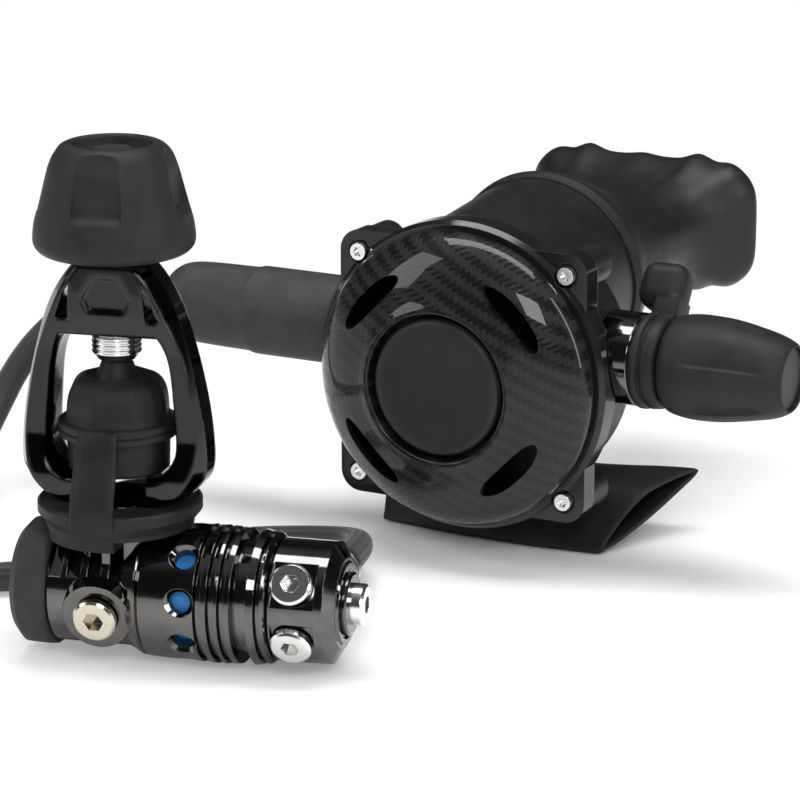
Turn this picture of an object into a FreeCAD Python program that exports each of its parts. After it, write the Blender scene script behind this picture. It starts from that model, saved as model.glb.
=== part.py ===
import FreeCAD, Part
import math
import os

# Scuba regulator set: a balanced piston first stage with a yoke clamp, a low pressure hose
# and an adjustable second stage. Millimetres. The set stands on a flat surface, Z up.
# X runs along the body of the first stage towards its swivelling turret, and Y points to the back.

V = FreeCAD.Vector

# Clearances
RUN_GAP = 0.05          # radial gap of a running fit
SEAT_GAP = 0.05         # gap left where two faces of moving pieces meet
LOOSE_GAP = 0.3         # gap beside soft pieces

# First stage: heights and stations along X, measured from the axis of the yoke
BODY_AXIS_H = 21.0      # height of the body axis, which is also the radius of its fins
BUMPER_LEFT = -30.5
BUMPER_LENGTH = 11.9
BODY_SEAM = 10.5        # where the high pressure body meets the finned housing
HOUSING_END = 50.4      # where the finned housing meets the turret
TURRET_LENGTH = 21.0
HP_BODY_R = 17.9
FIN_R = 21.0
# Grooves of the housing: middle, width, depth, and how far the rims beside them lie below the fins
FIN_GROOVES = [
    (29.8, 1.4, 1.7, 0.0),
    (33.9, 1.6, 1.8, 0.0),
    (37.1, 1.2, 1.8, 0.2),
    (42.3, 4.2, 3.6, 0.4),
    (48.0, 1.0, 2.6, 1.0),
]
TURRET_R = 18.6

# Thermal chamber and piston
CHAMBER_R = 16.2
BUSH_WALL = 1.5
WATER_HOLES = 9
WATER_HOLE_X = 24.3
WATER_HOLE_R = 3.3
WATER_HOLE_RIM_R = 4.6
WATER_HOLE_START = 88.0
PISTON_HEAD_R = 14.5
PISTON_HEAD_T = 4.8
END_WALL_T = 4.5        # wall of the housing behind the piston
HEAD_BORE_LEFT = 36.0    # where the wide chamber steps down to the bore of the piston's head
PISTON_STEM_R = 4.0
PISTON_BORE_R = 2.2
PISTON_TRAVEL = 0.9
SEAT_FACE_X = -9.0
PISTON_HEAD_X = HOUSING_END - END_WALL_T - SEAT_GAP - PISTON_HEAD_T
SPRING_R = 8.6
SPRING_WIRE = 2.6
SPRING_TURNS = 5
PARTITION_LEFT = 3.5    # wall between the high pressure chamber and the thermal chamber
PARTITION_RIGHT = 10.0
STEM_RING_X = 7.0
HP_CHAMBER_R = 9.5

# Ports
HP_PORT_X = -2.2
HP_PORT_ANGLES = (-13.0, 193.0)
HP_BOSS_R = 10.6
HP_BOSS_H = 18.9
HP_THREAD_R = 5.55      # 7/16 inch thread
HP_HEAD_R = 6.8
LP_PORT_X = 58.0
LP_PORT_ANGLES = (32.0, -28.0, 238.0)
HOSE_PORT_ANGLE = 184.0
LP_FLAT_R = 17.2
LP_FLAT_W = 16.6
LP_THREAD_R = 4.75      # 3/8 inch thread
LP_HEAD_R = 6.4
PLUG_HEAD_T = 2.4
PLUG_THREAD_L = 6.0
PLUG_HEX_AF = 5.0
PORT_RING_T = 0.8       # O-ring that shows as a thin line under a plug
GALLERY_R = 12.0
GALLERY_LEFT = 55.0
GALLERY_RIGHT = 61.5

# Swivel bolt of the turret
BOLT_R = 8.0
BOLT_HEAD_R = 9.6
BOLT_HEAD_T = 2.4
BOLT_BORE_R = 4.75
BOLT_GROOVE_W = 1.6
BOLT_GROOVE_D = 1.3
BOLT_GROOVES = (53.4, 63.2)
END_PLUG_T = 4.2

# Yoke, measured from the floor
YOKE_BOTTOM = 50.0
YOKE_TOP = 123.0
YOKE_DEPTH = 16.0
YOKE_BASE_T = 7.0
YOKE_HEAD_R = 11.0
WINDOW_TOP = 102.0
COLLAR_R = 25.0
COLLAR_BOTTOM = 43.0
COLLAR_TOP = 49.8
INLET_BOSS_R = 14.0
RETAINER_R = 9.0
RETAINER_HEX_AF = 21.0
RETAINER_HEX_T = 4.2
SEAT_BORE_R = 5.4

# Yoke screw and knob
SCREW_R = 7.5
SCREW_END = 93.0
SCREW_PITCH = 3.0
KNOB_BOTTOM = 126.0
KNOB_TOP = 158.4
KNOB_BASE_R = 24.3
KNOB_TOP_R = 17.6
KNOB_FLUTES = 4
WASHER_R = 10.6
WASHER_T = 2.5

# Dust cap
CAP_R = 16.0
CAP_FLANGE_R = 18.0
CAP_FLANGE_BOTTOM = 69.5
CAP_FLANGE_TOP = 74.5
CAP_TOP = 88.0
CAP_BOTTOM = 59.0
CAP_CONE_TOP = 92.9
STRAP_W = 13.4
STRAP_T = 2.6

# Hose
HOSE_D = 9.5
HOSE_PORT_REACH = 70.0  # how far from the body axis the hose runs straight on its port's line
FITTING_HEX_AF = 14.0
FITTING_HEX_T = 7.0
FERRULE_R = 6.6
FERRULE_L = 18.0

# Second stage, in its own frame: x along the valve barrel, y backwards from the screw heads, z up
STAGE_X = 79.0
STAGE_Y = 116.0
STAGE_YAW = -14.0
COVER_H = 62.0
BARREL_Y = 19.0
BARREL_H = 70.0
COVER_RIM_R = 46.8
FRAME_WALL = 5.2
FRAME_R = COVER_RIM_R + FRAME_WALL
FRAME_T = 8.0
EAR_AT = FRAME_R - 14.2
EAR_R = 7.2
COVER_FRONT = -19.5
COVER_WALL = 2.2
PURGE_HOLE_R = 24.4
PURGE_LEDGE_Y = -12.0
BUTTON_R = 22.9
BUTTON_TRAVEL = 3.0
SLOT_R = COVER_RIM_R - 10.3
SLOT_L = 27.0
SLOT_W = 6.4
SCREW_HEAD_R = 3.6
SCREW_HEAD_T = 2.3
SCREW_SHANK_R = 1.75
SCREW_L = 17.0
DIAPHRAGM_Y = 1.0       # front of the diaphragm's disc
DIAPHRAGM_T = 1.2
DIAPHRAGM_HOLE_R = 3.0
BEAD_Y = 6.0            # front of the bead that is clamped between frame and case
BEAD_IN_R = COVER_RIM_R - 4.8
PLATE_FRONT = 0.2
PLATE_R = 14.0
PLATE_BACK_T = 0.6
CASE_R = 46.0
CASE_WALL = 2.4
NECK_R = 34.6           # wide neck that carries the mouthpiece
NECK_H = 83.0           # height of its centre at its end
NECK_START_Y = 13.0
NECK_END_Y = 63.0
NECK_RISE = 5.0
BARREL_R = 10.0
BARREL_BORE_R = 7.5
BARREL_NOSE_R = 8.2
BARREL_LEFT = -FRAME_R - 8.0
BARREL_BOSS_X = FRAME_R - 2.0
INLET_R = 7.1           # 9/16 inch thread
INLET_L = 6.2
HOSE_NUT_AF = 17.5
HOSE_NUT_L = 8.0
STEM_FLANGE_T = 2.0
FERRULE_GRIP = 10.0     # how deep the hose sits in its ferrule at the second stage
FERRULE_STEM_R = 4.5
LEVER_HALF = 4.6
LEVER_PIVOT_X = 14.0
LEVER_PIVOT_Y = 14.0
LEVER_TIP_X = -3.0
POPPET_LEFT = -12.0
POPPET_TRAVEL = 0.5
POPPET_STEM_R = 2.1
POPPET_NUT_X = 16.4
POPPET_NUT_R = 4.4
SPINDLE_R = 3.5
ADJUST_TRAVEL = 1.25
SLEEVE_LEFT = FRAME_R - 7.0     # polished heat exchanger sleeve on the barrel
SLEEVE_L = 12.5
SLEEVE_RIGHT = SLEEVE_LEFT + SLEEVE_L
SLEEVE_R = 15.3
SPINDLE_HEAD_X = SLEEVE_LEFT - 3.0
RING_L = 9.0
RING_RIGHT = SLEEVE_RIGHT + RING_L
RING_R = 15.8
VANE_TUBE_R = 11.2
VANE_TUBE_LEFT = SLEEVE_LEFT - 11.0
BARREL_RIGHT = RING_RIGHT + 7.5
PADDLE_R = 9.2
PADDLE_H = 20.0
PADDLE_BACK = 32.0      # angle of the paddle from upright, towards the back
INHALATION_KNOB_L = 41.8
INHALATION_KNOB_LEFT = RING_RIGHT + 0.7
INHALATION_KNOB_RIGHT = INHALATION_KNOB_LEFT + INHALATION_KNOB_L
INHALATION_KNOB_R = 17.2
KNOB_DISC_R = 10.2
KNOB_RECESS = 2.6
EXHAUST_Y = 36.0
EXHAUST_R = 15.0
EXHAUST_SEAT_H = COVER_H - CASE_R - 3.0
EXHAUST_LIFT = 1.5
TEE_FRONT_Y = 19.0
TEE_MIDDLE_HALF = 26.0
TEE_FRONT_HALF = 41.0
TEE_SLANT = 0.39        # how far the outlets lean out for each mm back
TEE_WALL = 1.6
PROTECTOR_R = 15.2      # hose protector sleeve
PROTECTOR_L = 69.6
PROTECTOR_RIGHT = -FRAME_R - 0.4
PROTECTOR_LEFT = PROTECTOR_RIGHT - PROTECTOR_L
PROTECTOR_STEP = PROTECTOR_RIGHT - 29.6
HOSE_FAR_X = PROTECTOR_RIGHT - 43.6
HOSE_LEAVE_X = PROTECTOR_LEFT - 18.0

# Mouthpiece: stations back from the cover, with height, half width, half height and lean
MOUTH_OUTSIDE = [
    (63.6, 83.0, 35.8, 35.8, 5.0),
    (74.0, 83.8, 33.4, 32.0, 4.0),
    (92.0, 85.6, 28.6, 23.0, 2.0),
    (112.0, 87.0, 26.6, 17.2, 0.0),
    (130.0, 87.5, 29.4, 16.4, 0.0),
]
MOUTH_FLANGE = [
    (137.0, 87.3, 35.6, 18.0, 0.0),
    (141.4, 87.0, 42.4, 23.0, 0.0),
    (145.6, 87.0, 43.4, 23.6, 0.0),
    (147.6, 87.0, 42.2, 22.6, 0.0),
]
MOUTH_WALL = 2.6
MOUTH_BORE_W = 20.0
MOUTH_BORE_H = 9.0
TAB_W = 10.0            # bite tabs
TAB_T = 4.0
TAB_L = 15.4
TAB_AT = 27.0
STRAP_BAND_W = 6.0
STRAP_BAND_T = 1.6

# The free stretch of hose, from the turret's fitting to the protector: points chosen by hand
HOSE_POINTS = [
    (47.0, 94.0, 9.5),
    (22.0, 103.0, 5.2),
    (-4.0, 92.0, 5.2),
    (-24.0, 68.0, 5.2),
    (-44.0, 48.0, 5.2),
    (-70.0, 37.0, 5.2),
    (-98.0, 46.0, 5.2),
    (-110.0, 72.0, 5.2),
    (-106.0, 101.0, 6.0),
    (-100.0, 128.0, 13.0),
    (-98.0, 150.0, 27.0),
    (-92.0, 165.0, 45.0),
    (-77.0, 171.5, 61.0),
]

X_AXIS = V(1, 0, 0)
Y_AXIS = V(0, 1, 0)
Z_AXIS = V(0, 0, 1)


# Building blocks

def rod(radius, start, end):
    """A plain cylinder between two points."""
    start, end = V(*start), V(*end)
    return Part.makeCylinder(radius, (end - start).Length, start, end - start)


def tube(outer, inner, start, end):
    return rod(outer, start, end).cut(rod(inner, start, end))


def cone(r_start, r_end, start, end):
    start, end = V(*start), V(*end)
    return Part.makeCone(r_start, r_end, (end - start).Length, start, end - start)


def box(x0, x1, y0, y1, z0, z1):
    return Part.makeBox(x1 - x0, y1 - y0, z1 - z0, V(x0, y0, z0))


def turned(profile, centre, axis):
    """A solid turned about an axis: the profile is a list of distances along it and radii."""
    side = V(0, 0, 1) if abs(axis.z) < 0.5 else V(1, 0, 0)
    points = [centre + axis * a + side * r for a, r in profile]
    face = Part.Face(Part.makePolygon(points + [points[0]]))
    return face.revolve(centre, axis, 360)


def hex_prism(across_flats, start, end, turn=0.0):
    """A hexagonal prism along the line between two points."""
    start, end = V(*start), V(*end)
    axis = end - start
    corner = across_flats / math.sqrt(3)
    points = []
    for i in range(6):
        a = math.radians(60 * i + turn)
        points.append(V(corner * math.cos(a), corner * math.sin(a), 0))
    solid = Part.Face(Part.makePolygon(points + [points[0]])).extrude(V(0, 0, axis.Length))
    solid.Placement = FreeCAD.Placement(start, FreeCAD.Rotation(Z_AXIS, axis))
    return solid


def join(first, *others):
    return first.multiFuse(list(others)).removeSplitter()


def torus(major, minor, centre, axis):
    return Part.makeTorus(major, minor, V(*centre), axis)


def coil(radius, wire, length, turns, start, axis):
    """A helical spring along an axis."""
    helix = Part.makeHelix(length / turns, length, radius)
    section = Part.Wire(Part.makeCircle(wire / 2, V(radius, 0, 0), V(0, 1, 0)))
    spring = Part.Wire(helix.Edges).makePipeShell([section], True, True)
    spring.Placement = FreeCAD.Placement(V(*start), FreeCAD.Rotation(Z_AXIS, axis))
    return spring


def about_x(solid, angle):
    """The solid turned about the body axis; angle zero faces the front and grows upwards."""
    turned_copy = solid.copy()
    turned_copy.rotate(V(0, 0, BODY_AXIS_H), X_AXIS, -angle)
    return turned_copy


# First stage

def body_centre(x=0.0):
    return V(x, 0, BODY_AXIS_H)


def radial(x, angle, near, far, radius):
    """A cylinder that stands out from the body axis at an angle."""
    return about_x(rod(radius, (x, -near, BODY_AXIS_H), (x, -far, BODY_AXIS_H)), angle)


def make_hp_body():
    """High pressure body: its left end goes under the rubber bumper."""
    left = BUMPER_LEFT + 2.2
    under = BUMPER_LEFT + BUMPER_LENGTH
    shell = turned(
        [
            (left, 0.0),
            (left, 13.6),
            (left + 0.8, 14.4),
            (under, 14.4),
            (under, HP_BODY_R - 0.6),
            (under + 0.6, HP_BODY_R),
            (5.0, HP_BODY_R),
            (BODY_SEAM - 0.8, 20.3),
            (BODY_SEAM, 19.6),
            (BODY_SEAM, CHAMBER_R - RUN_GAP),
            (BODY_SEAM + 4.0, CHAMBER_R - RUN_GAP),
            (BODY_SEAM + 4.0, 0.0),
        ],
        body_centre(),
        X_AXIS,
    )
    boss = rod(INLET_BOSS_R, (0, 0, BODY_AXIS_H), (0, 0, YOKE_BOTTOM))
    boss = boss.cut(rod(FIN_R + RUN_GAP, (BODY_SEAM, 0, BODY_AXIS_H), (BODY_SEAM + 20, 0, BODY_AXIS_H)))
    shell = join(shell, boss)
    for angle in HP_PORT_ANGLES:
        pad = about_x(
            cone(HP_BOSS_R + 1.4, HP_BOSS_R, (HP_PORT_X, -HP_BODY_R + 3, BODY_AXIS_H),
                 (HP_PORT_X, -HP_BOSS_H, BODY_AXIS_H)),
            angle,
        )
        shell = join(shell, pad)
    # Grip windows between ribs, on the upper front and the upper back
    for angle in (47.0, 133.0):
        for x in (-18.0, -12.0, -5.6, 1.1):
            pocket = box(x, x + 4.1, -25.0, -HP_BODY_R + 1.8, BODY_AXIS_H - 7.4, BODY_AXIS_H + 7.4)
            shell = shell.cut(about_x(pocket, angle))
    # Inner spaces
    shell = shell.cut(rod(11.0, (left - 1, 0, BODY_AXIS_H), (SEAT_FACE_X - 2.0, 0, BODY_AXIS_H)))
    shell = shell.cut(
        rod(HP_CHAMBER_R, (SEAT_FACE_X - 3.0, 0, BODY_AXIS_H), (PARTITION_LEFT, 0, BODY_AXIS_H))
    )
    shell = shell.cut(
        rod(PISTON_STEM_R + RUN_GAP, (0, 0, BODY_AXIS_H), (PARTITION_RIGHT + 1, 0, BODY_AXIS_H))
    )
    shell = shell.cut(
        rod(SPRING_R + SPRING_WIRE, (PARTITION_RIGHT, 0, BODY_AXIS_H),
            (BODY_SEAM + 6, 0, BODY_AXIS_H))
    )
    shell = shell.cut(torus(PISTON_STEM_R + 0.75, 0.65, (STEM_RING_X, 0, BODY_AXIS_H), X_AXIS))
    shell = shell.cut(rod(SEAT_BORE_R, (0, 0, BODY_AXIS_H), (0, 0, YOKE_BOTTOM + 1)))
    shell = shell.cut(
        rod(RETAINER_R, (0, 0, YOKE_BOTTOM - 12.0), (0, 0, YOKE_BOTTOM + 1))
    )
    for angle in HP_PORT_ANGLES:
        shell = shell.cut(radial(HP_PORT_X, angle, HP_CHAMBER_R - 3, 24.0, 2.0))
        shell = shell.cut(
            radial(HP_PORT_X, angle, HP_BOSS_H - PLUG_THREAD_L - 0.5, 24.0, HP_THREAD_R)
        )
    return shell


def make_end_bumper():
    """Rubber bumper: a ten sided cap pressed on the left end of the body."""
    corner = 20.2
    points = []
    for i in range(10):
        a = math.radians(36 * i + 18)
        points.append(V(BUMPER_LEFT, corner * math.cos(a), BODY_AXIS_H + corner * math.sin(a)))
    prism = Part.Face(Part.makePolygon(points + [points[0]])).extrude(V(BUMPER_LENGTH, 0, 0))
    rounding = turned(
        [
            (BUMPER_LEFT, 0.0),
            (BUMPER_LEFT, 16.4),
            (BUMPER_LEFT + 2.6, 19.2),
            (BUMPER_LEFT + BUMPER_LENGTH - 1.2, 19.6),
            (BUMPER_LEFT + BUMPER_LENGTH, 18.6),
            (BUMPER_LEFT + BUMPER_LENGTH, 0.0),
        ],
        body_centre(),
        X_AXIS,
    )
    shell = prism.common(rounding)
    shell = shell.cut(
        rod(14.4, (BUMPER_LEFT + 2.2, 0, BODY_AXIS_H), (0, 0, BODY_AXIS_H))
    )
    return shell.cut(rod(8.6, (BUMPER_LEFT - 1, 0, BODY_AXIS_H), (0, 0, BODY_AXIS_H)))


def make_hp_end_plug():
    """Plug that closes the high pressure chamber and carries its seat."""
    left = BUMPER_LEFT + 2.2
    plug = turned(
        [
            (left + 0.4, 0.0),
            (left + 0.4, 10.0),
            (left + 1.2, 10.95),
            (SEAT_FACE_X - 2.6, 10.95),
            (SEAT_FACE_X - 2.6, 0.0),
        ],
        body_centre(),
        X_AXIS,
    )
    plug = plug.cut(hex_prism(10.0, (left - 1, 0, BODY_AXIS_H), (left + 6, 0, BODY_AXIS_H)))
    return plug.cut(rod(5.0, (SEAT_FACE_X - 5.0, 0, BODY_AXIS_H), (0, 0, BODY_AXIS_H)))


def make_hp_seat():
    return turned(
        [
            (SEAT_FACE_X - 5.0, 0.0),
            (SEAT_FACE_X - 5.0, 5.0),
            (SEAT_FACE_X - 2.6, 5.0),
            (SEAT_FACE_X - 2.6, 6.2),
            (SEAT_FACE_X, 6.2),
            (SEAT_FACE_X, 0.0),
        ],
        body_centre(),
        X_AXIS,
    )


def make_finned_housing():
    """Finned housing: thermal chamber with water holes, piston bore and end wall."""
    inner_end = HOUSING_END - END_WALL_T
    profile = [(BODY_SEAM, 0.0), (BODY_SEAM, FIN_R - 1.4), (BODY_SEAM + 0.9, FIN_R - 0.5)]
    for x, width, depth, rim in FIN_GROOVES:
        profile += [
            (x - width / 2 - 0.4, FIN_R - rim),
            (x - width / 2, FIN_R - depth),
            (x + width / 2, FIN_R - depth),
            (x + width / 2 + 0.4, FIN_R - rim),
        ]
    profile += [
        (HOUSING_END - 0.5, FIN_R - 1.9),
        (HOUSING_END, FIN_R - 2.6),
        (HOUSING_END, 0.0),
    ]
    shell = turned(profile, body_centre(), X_AXIS)
    shell = shell.cut(rod(CHAMBER_R, (BODY_SEAM - 1, 0, BODY_AXIS_H), (HEAD_BORE_LEFT, 0, BODY_AXIS_H)))
    shell = shell.cut(
        rod(PISTON_HEAD_R + RUN_GAP, (HEAD_BORE_LEFT - 1, 0, BODY_AXIS_H), (inner_end, 0, BODY_AXIS_H))
    )
    shell = shell.cut(rod(BOLT_R, (40.0, 0, BODY_AXIS_H), (HOUSING_END + 1, 0, BODY_AXIS_H)))
    step = 360.0 / WATER_HOLES
    for i in range(WATER_HOLES):
        angle = WATER_HOLE_START + i * step
        shell = shell.cut(radial(WATER_HOLE_X, angle, 12.0, 24.0, WATER_HOLE_R))
        rim = cone(
            WATER_HOLE_R, WATER_HOLE_RIM_R + 0.6,
            (WATER_HOLE_X, -(FIN_R - 1.8), BODY_AXIS_H),
            (WATER_HOLE_X, -(FIN_R + 0.4), BODY_AXIS_H),
        )
        shell = shell.cut(about_x(rim, angle))
    return shell


def make_thermal_bush():
    """Plastic liner of the thermal chamber, seen through the water holes."""
    return tube(
        CHAMBER_R, CHAMBER_R - BUSH_WALL,
        (BODY_SEAM + 4.0, 0, BODY_AXIS_H), (HEAD_BORE_LEFT, 0, BODY_AXIS_H),
    )


def make_piston():
    knife = SEAT_FACE_X + PISTON_TRAVEL + SEAT_GAP
    head_end = PISTON_HEAD_X + PISTON_HEAD_T
    piston = turned(
        [
            (knife, PISTON_BORE_R),
            (knife, PISTON_BORE_R + 0.4),
            (knife + 2.0, PISTON_STEM_R),
            (PISTON_HEAD_X, PISTON_STEM_R),
            (PISTON_HEAD_X, PISTON_HEAD_R),
            (PISTON_HEAD_X + 1.5, PISTON_HEAD_R),
            (PISTON_HEAD_X + 1.5, PISTON_HEAD_R - 1.7),
            (PISTON_HEAD_X + 3.3, PISTON_HEAD_R - 1.7),
            (PISTON_HEAD_X + 3.3, PISTON_HEAD_R),
            (head_end, PISTON_HEAD_R),
            (head_end, PISTON_BORE_R),
        ],
        body_centre(),
        X_AXIS,
    )
    return piston


def make_piston_rings():
    """Head O-ring of the piston, in its groove."""
    return torus(
        PISTON_HEAD_R - 0.8, 0.8, (PISTON_HEAD_X + 2.4, 0, BODY_AXIS_H), X_AXIS
    )


def make_stem_ring():
    return torus(PISTON_STEM_R + 0.75, 0.6, (STEM_RING_X, 0, BODY_AXIS_H), X_AXIS)


def make_main_spring():
    start = PARTITION_RIGHT + SPRING_WIRE / 2 + 0.1
    length = PISTON_HEAD_X - PISTON_TRAVEL - SPRING_WIRE / 2 - 0.2 - start
    return coil(SPRING_R, SPRING_WIRE, length, SPRING_TURNS, (start, 0, BODY_AXIS_H), X_AXIS)


def plug(thread_r, head_r, seat_r, x, angle, hex_af):
    """A port plug with its socket, screwed in so that its O-ring lies on the seat radius."""
    under_head = seat_r + PORT_RING_T
    shank = rod(
        thread_r, (x, -(seat_r - PLUG_THREAD_L), BODY_AXIS_H), (x, -under_head, BODY_AXIS_H)
    )
    head = rod(
        head_r, (x, -under_head, BODY_AXIS_H), (x, -(under_head + PLUG_HEAD_T), BODY_AXIS_H)
    )
    head = head.makeChamfer(0.7, [e for e in head.Edges if e.CenterOfMass.y < -under_head - 2])
    socket = hex_prism(
        hex_af, (x, -(under_head + PLUG_HEAD_T + 1), BODY_AXIS_H),
        (x, -(under_head - 1.6), BODY_AXIS_H),
    )
    return about_x(join(shank, head).cut(socket), angle)


def port_ring(thread_r, head_r, seat_r, x, angle):
    ring = tube(
        head_r - 0.5, thread_r,
        (x, -seat_r, BODY_AXIS_H), (x, -(seat_r + PORT_RING_T), BODY_AXIS_H),
    )
    return about_x(ring, angle)


def make_hp_plugs():
    return Part.makeCompound(
        [plug(HP_THREAD_R, HP_HEAD_R, HP_BOSS_H, HP_PORT_X, a, 5.6) for a in HP_PORT_ANGLES]
    )


def make_hp_port_rings():
    return Part.makeCompound(
        [port_ring(HP_THREAD_R, HP_HEAD_R, HP_BOSS_H, HP_PORT_X, a) for a in HP_PORT_ANGLES]
    )


def make_lp_plugs():
    return Part.makeCompound(
        [plug(LP_THREAD_R, LP_HEAD_R, LP_FLAT_R, LP_PORT_X, a, PLUG_HEX_AF)
         for a in LP_PORT_ANGLES]
    )


def make_lp_port_rings():
    return Part.makeCompound(
        [port_ring(LP_THREAD_R, LP_HEAD_R, LP_FLAT_R, LP_PORT_X, a) for a in LP_PORT_ANGLES]
    )


def make_turret():
    """Turret that swivels on its bolt and carries the low pressure ports."""
    left = HOUSING_END + SEAT_GAP
    end = HOUSING_END + TURRET_LENGTH
    shell = turned(
        [
            (left, BOLT_R + RUN_GAP),
            (left, TURRET_R - 0.8),
            (left + 0.8, TURRET_R),
            (end - 3.6, TURRET_R),
            (end - 0.8, 13.8),
            (end - 0.8, 12.9),
            (end, 12.3),
            (end, 10.8),
            (end - 0.9, 10.2),
            (end - 0.9, BOLT_R + RUN_GAP),
            (GALLERY_RIGHT, BOLT_R + RUN_GAP),
            (GALLERY_RIGHT, GALLERY_R),
            (GALLERY_LEFT, GALLERY_R),
            (GALLERY_LEFT, BOLT_R + RUN_GAP),
        ],
        body_centre(),
        X_AXIS,
    )
    for angle in LP_PORT_ANGLES + (HOSE_PORT_ANGLE,):
        flat = box(
            LP_PORT_X - 6.3, LP_PORT_X + 7.2, -30.0, -LP_FLAT_R,
            BODY_AXIS_H - LP_FLAT_W / 2, BODY_AXIS_H + LP_FLAT_W / 2,
        )
        shell = shell.cut(about_x(flat, angle))
        shell = shell.cut(radial(LP_PORT_X, angle, GALLERY_R - 2, 24.0, 2.6))
        shell = shell.cut(
            radial(LP_PORT_X, angle, LP_FLAT_R - PLUG_THREAD_L - 0.4, 24.0, LP_THREAD_R)
        )
    return shell


def make_swivel_bolt():
    """Hollow bolt that holds the turret and feeds its ports through cross holes."""
    start = HOUSING_END - END_WALL_T
    head = HOUSING_END + TURRET_LENGTH - 0.9 + SEAT_GAP
    profile = [(start, BOLT_BORE_R - 1.5), (start, BOLT_R)]
    for x in BOLT_GROOVES:
        profile += [
            (x - BOLT_GROOVE_W / 2, BOLT_R),
            (x - BOLT_GROOVE_W / 2, BOLT_R - BOLT_GROOVE_D),
            (x + BOLT_GROOVE_W / 2, BOLT_R - BOLT_GROOVE_D),
            (x + BOLT_GROOVE_W / 2, BOLT_R),
        ]
    bolt = turned(
        profile + [
            (head, BOLT_R),
            (head, BOLT_HEAD_R),
            (head + BOLT_HEAD_T - 0.5, BOLT_HEAD_R),
            (head + BOLT_HEAD_T, BOLT_HEAD_R - 0.7),
            (head + BOLT_HEAD_T, BOLT_BORE_R),
            (head - 7.0, BOLT_BORE_R),
            (head - 7.0, BOLT_BORE_R - 1.5),
        ],
        body_centre(),
        X_AXIS,
    )
    for angle in (0.0, 90.0):
        bolt = bolt.cut(radial(LP_PORT_X, angle, -12.0, 12.0, 1.8))
    return bolt


def make_swivel_rings():
    return Part.makeCompound(
        [torus(BOLT_R - BOLT_GROOVE_D / 2, 0.6, (x, 0, BODY_AXIS_H), X_AXIS) for x in BOLT_GROOVES]
    )


def make_end_plug():
    """Plug of the low pressure port in the bolt's head."""
    seat = HOUSING_END + TURRET_LENGTH - 0.9 + SEAT_GAP + BOLT_HEAD_T
    end_plug = turned(
        [
            (seat - 5.0, 0.0),
            (seat - 5.0, BOLT_BORE_R),
            (seat, BOLT_BORE_R),
            (seat, LP_HEAD_R),
            (seat + END_PLUG_T - 0.8, LP_HEAD_R),
            (seat + END_PLUG_T, LP_HEAD_R - 0.8),
            (seat + END_PLUG_T, 0.0),
        ],
        body_centre(),
        X_AXIS,
    )
    return end_plug.cut(
        hex_prism(PLUG_HEX_AF, (seat + 0.6, 0, BODY_AXIS_H), (seat + 9, 0, BODY_AXIS_H))
    )


# Yoke and what it carries

# Half widths of the yoke's outside and of its window, by height
YOKE_SIDE = [
    (16.0, YOKE_BOTTOM),
    (24.2, 53.2),
    (28.4, 58.8),
    (29.0, 65.5),
    (27.9, 77.0),
    (25.9, 88.0),
    (22.9, 100.0),
    (19.6, 110.0),
    (15.2, 118.0),
    (YOKE_HEAD_R, YOKE_TOP),
]
WINDOW_SIDE = [
    (10.5, YOKE_BOTTOM + YOKE_BASE_T),
    (16.4, 59.8),
    (19.2, 65.5),
    (19.4, 74.0),
    (18.6, 86.0),
    (16.6, 97.0),
    (14.2, WINDOW_TOP - 0.6),
]


def mirrored_wire(side, shift, y):
    """A closed wire whose right edge passes the points, moved out by a shift, and its mirror."""
    points = [(x + shift, z) for x, z in side]
    right = Part.BSplineCurve()
    right.interpolate([V(x, y, z) for x, z in points])
    left = Part.BSplineCurve()
    left.interpolate([V(-x, y, z) for x, z in reversed(points)])
    (low_x, low_z), (top_x, top_z) = points[0], points[-1]
    return Part.Wire([
        right.toShape(),
        Part.makeLine(V(top_x, y, top_z), V(-top_x, y, top_z)),
        left.toShape(),
        Part.makeLine(V(-low_x, y, low_z), V(low_x, y, low_z)),
    ])


def bevelled(side, bevel, flat, depth):
    """The outline made thick, its front and back edges slanted by the bevel."""
    sections = [
        mirrored_wire(side, shift, y)
        for shift, y in ((bevel, -depth), (0.0, -flat), (0.0, flat), (bevel, depth))
    ]
    return Part.makeLoft(sections, True, True)


def yoke_depth_limit():
    """The side view of the yoke: deep at the foot and slimmer towards the head."""
    half = YOKE_DEPTH / 2
    side = [
        V(0, -half - 3.0, YOKE_BOTTOM - 1),
        V(0, -half - 3.0, 58),
        V(0, -half, 70),
        V(0, -half + 0.6, 96),
        V(0, -half - 1.8, 108),
        V(0, -half - 2.2, 114),
        V(0, -half - 1.0, YOKE_TOP + 1),
    ]
    back = [V(0, -p.y, p.z) for p in reversed(side)]
    face = Part.Face(Part.makePolygon(side + back + [side[0]]))
    solid = face.extrude(V(80, 0, 0))
    solid.translate(V(-40, 0, 0))
    return solid


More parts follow.
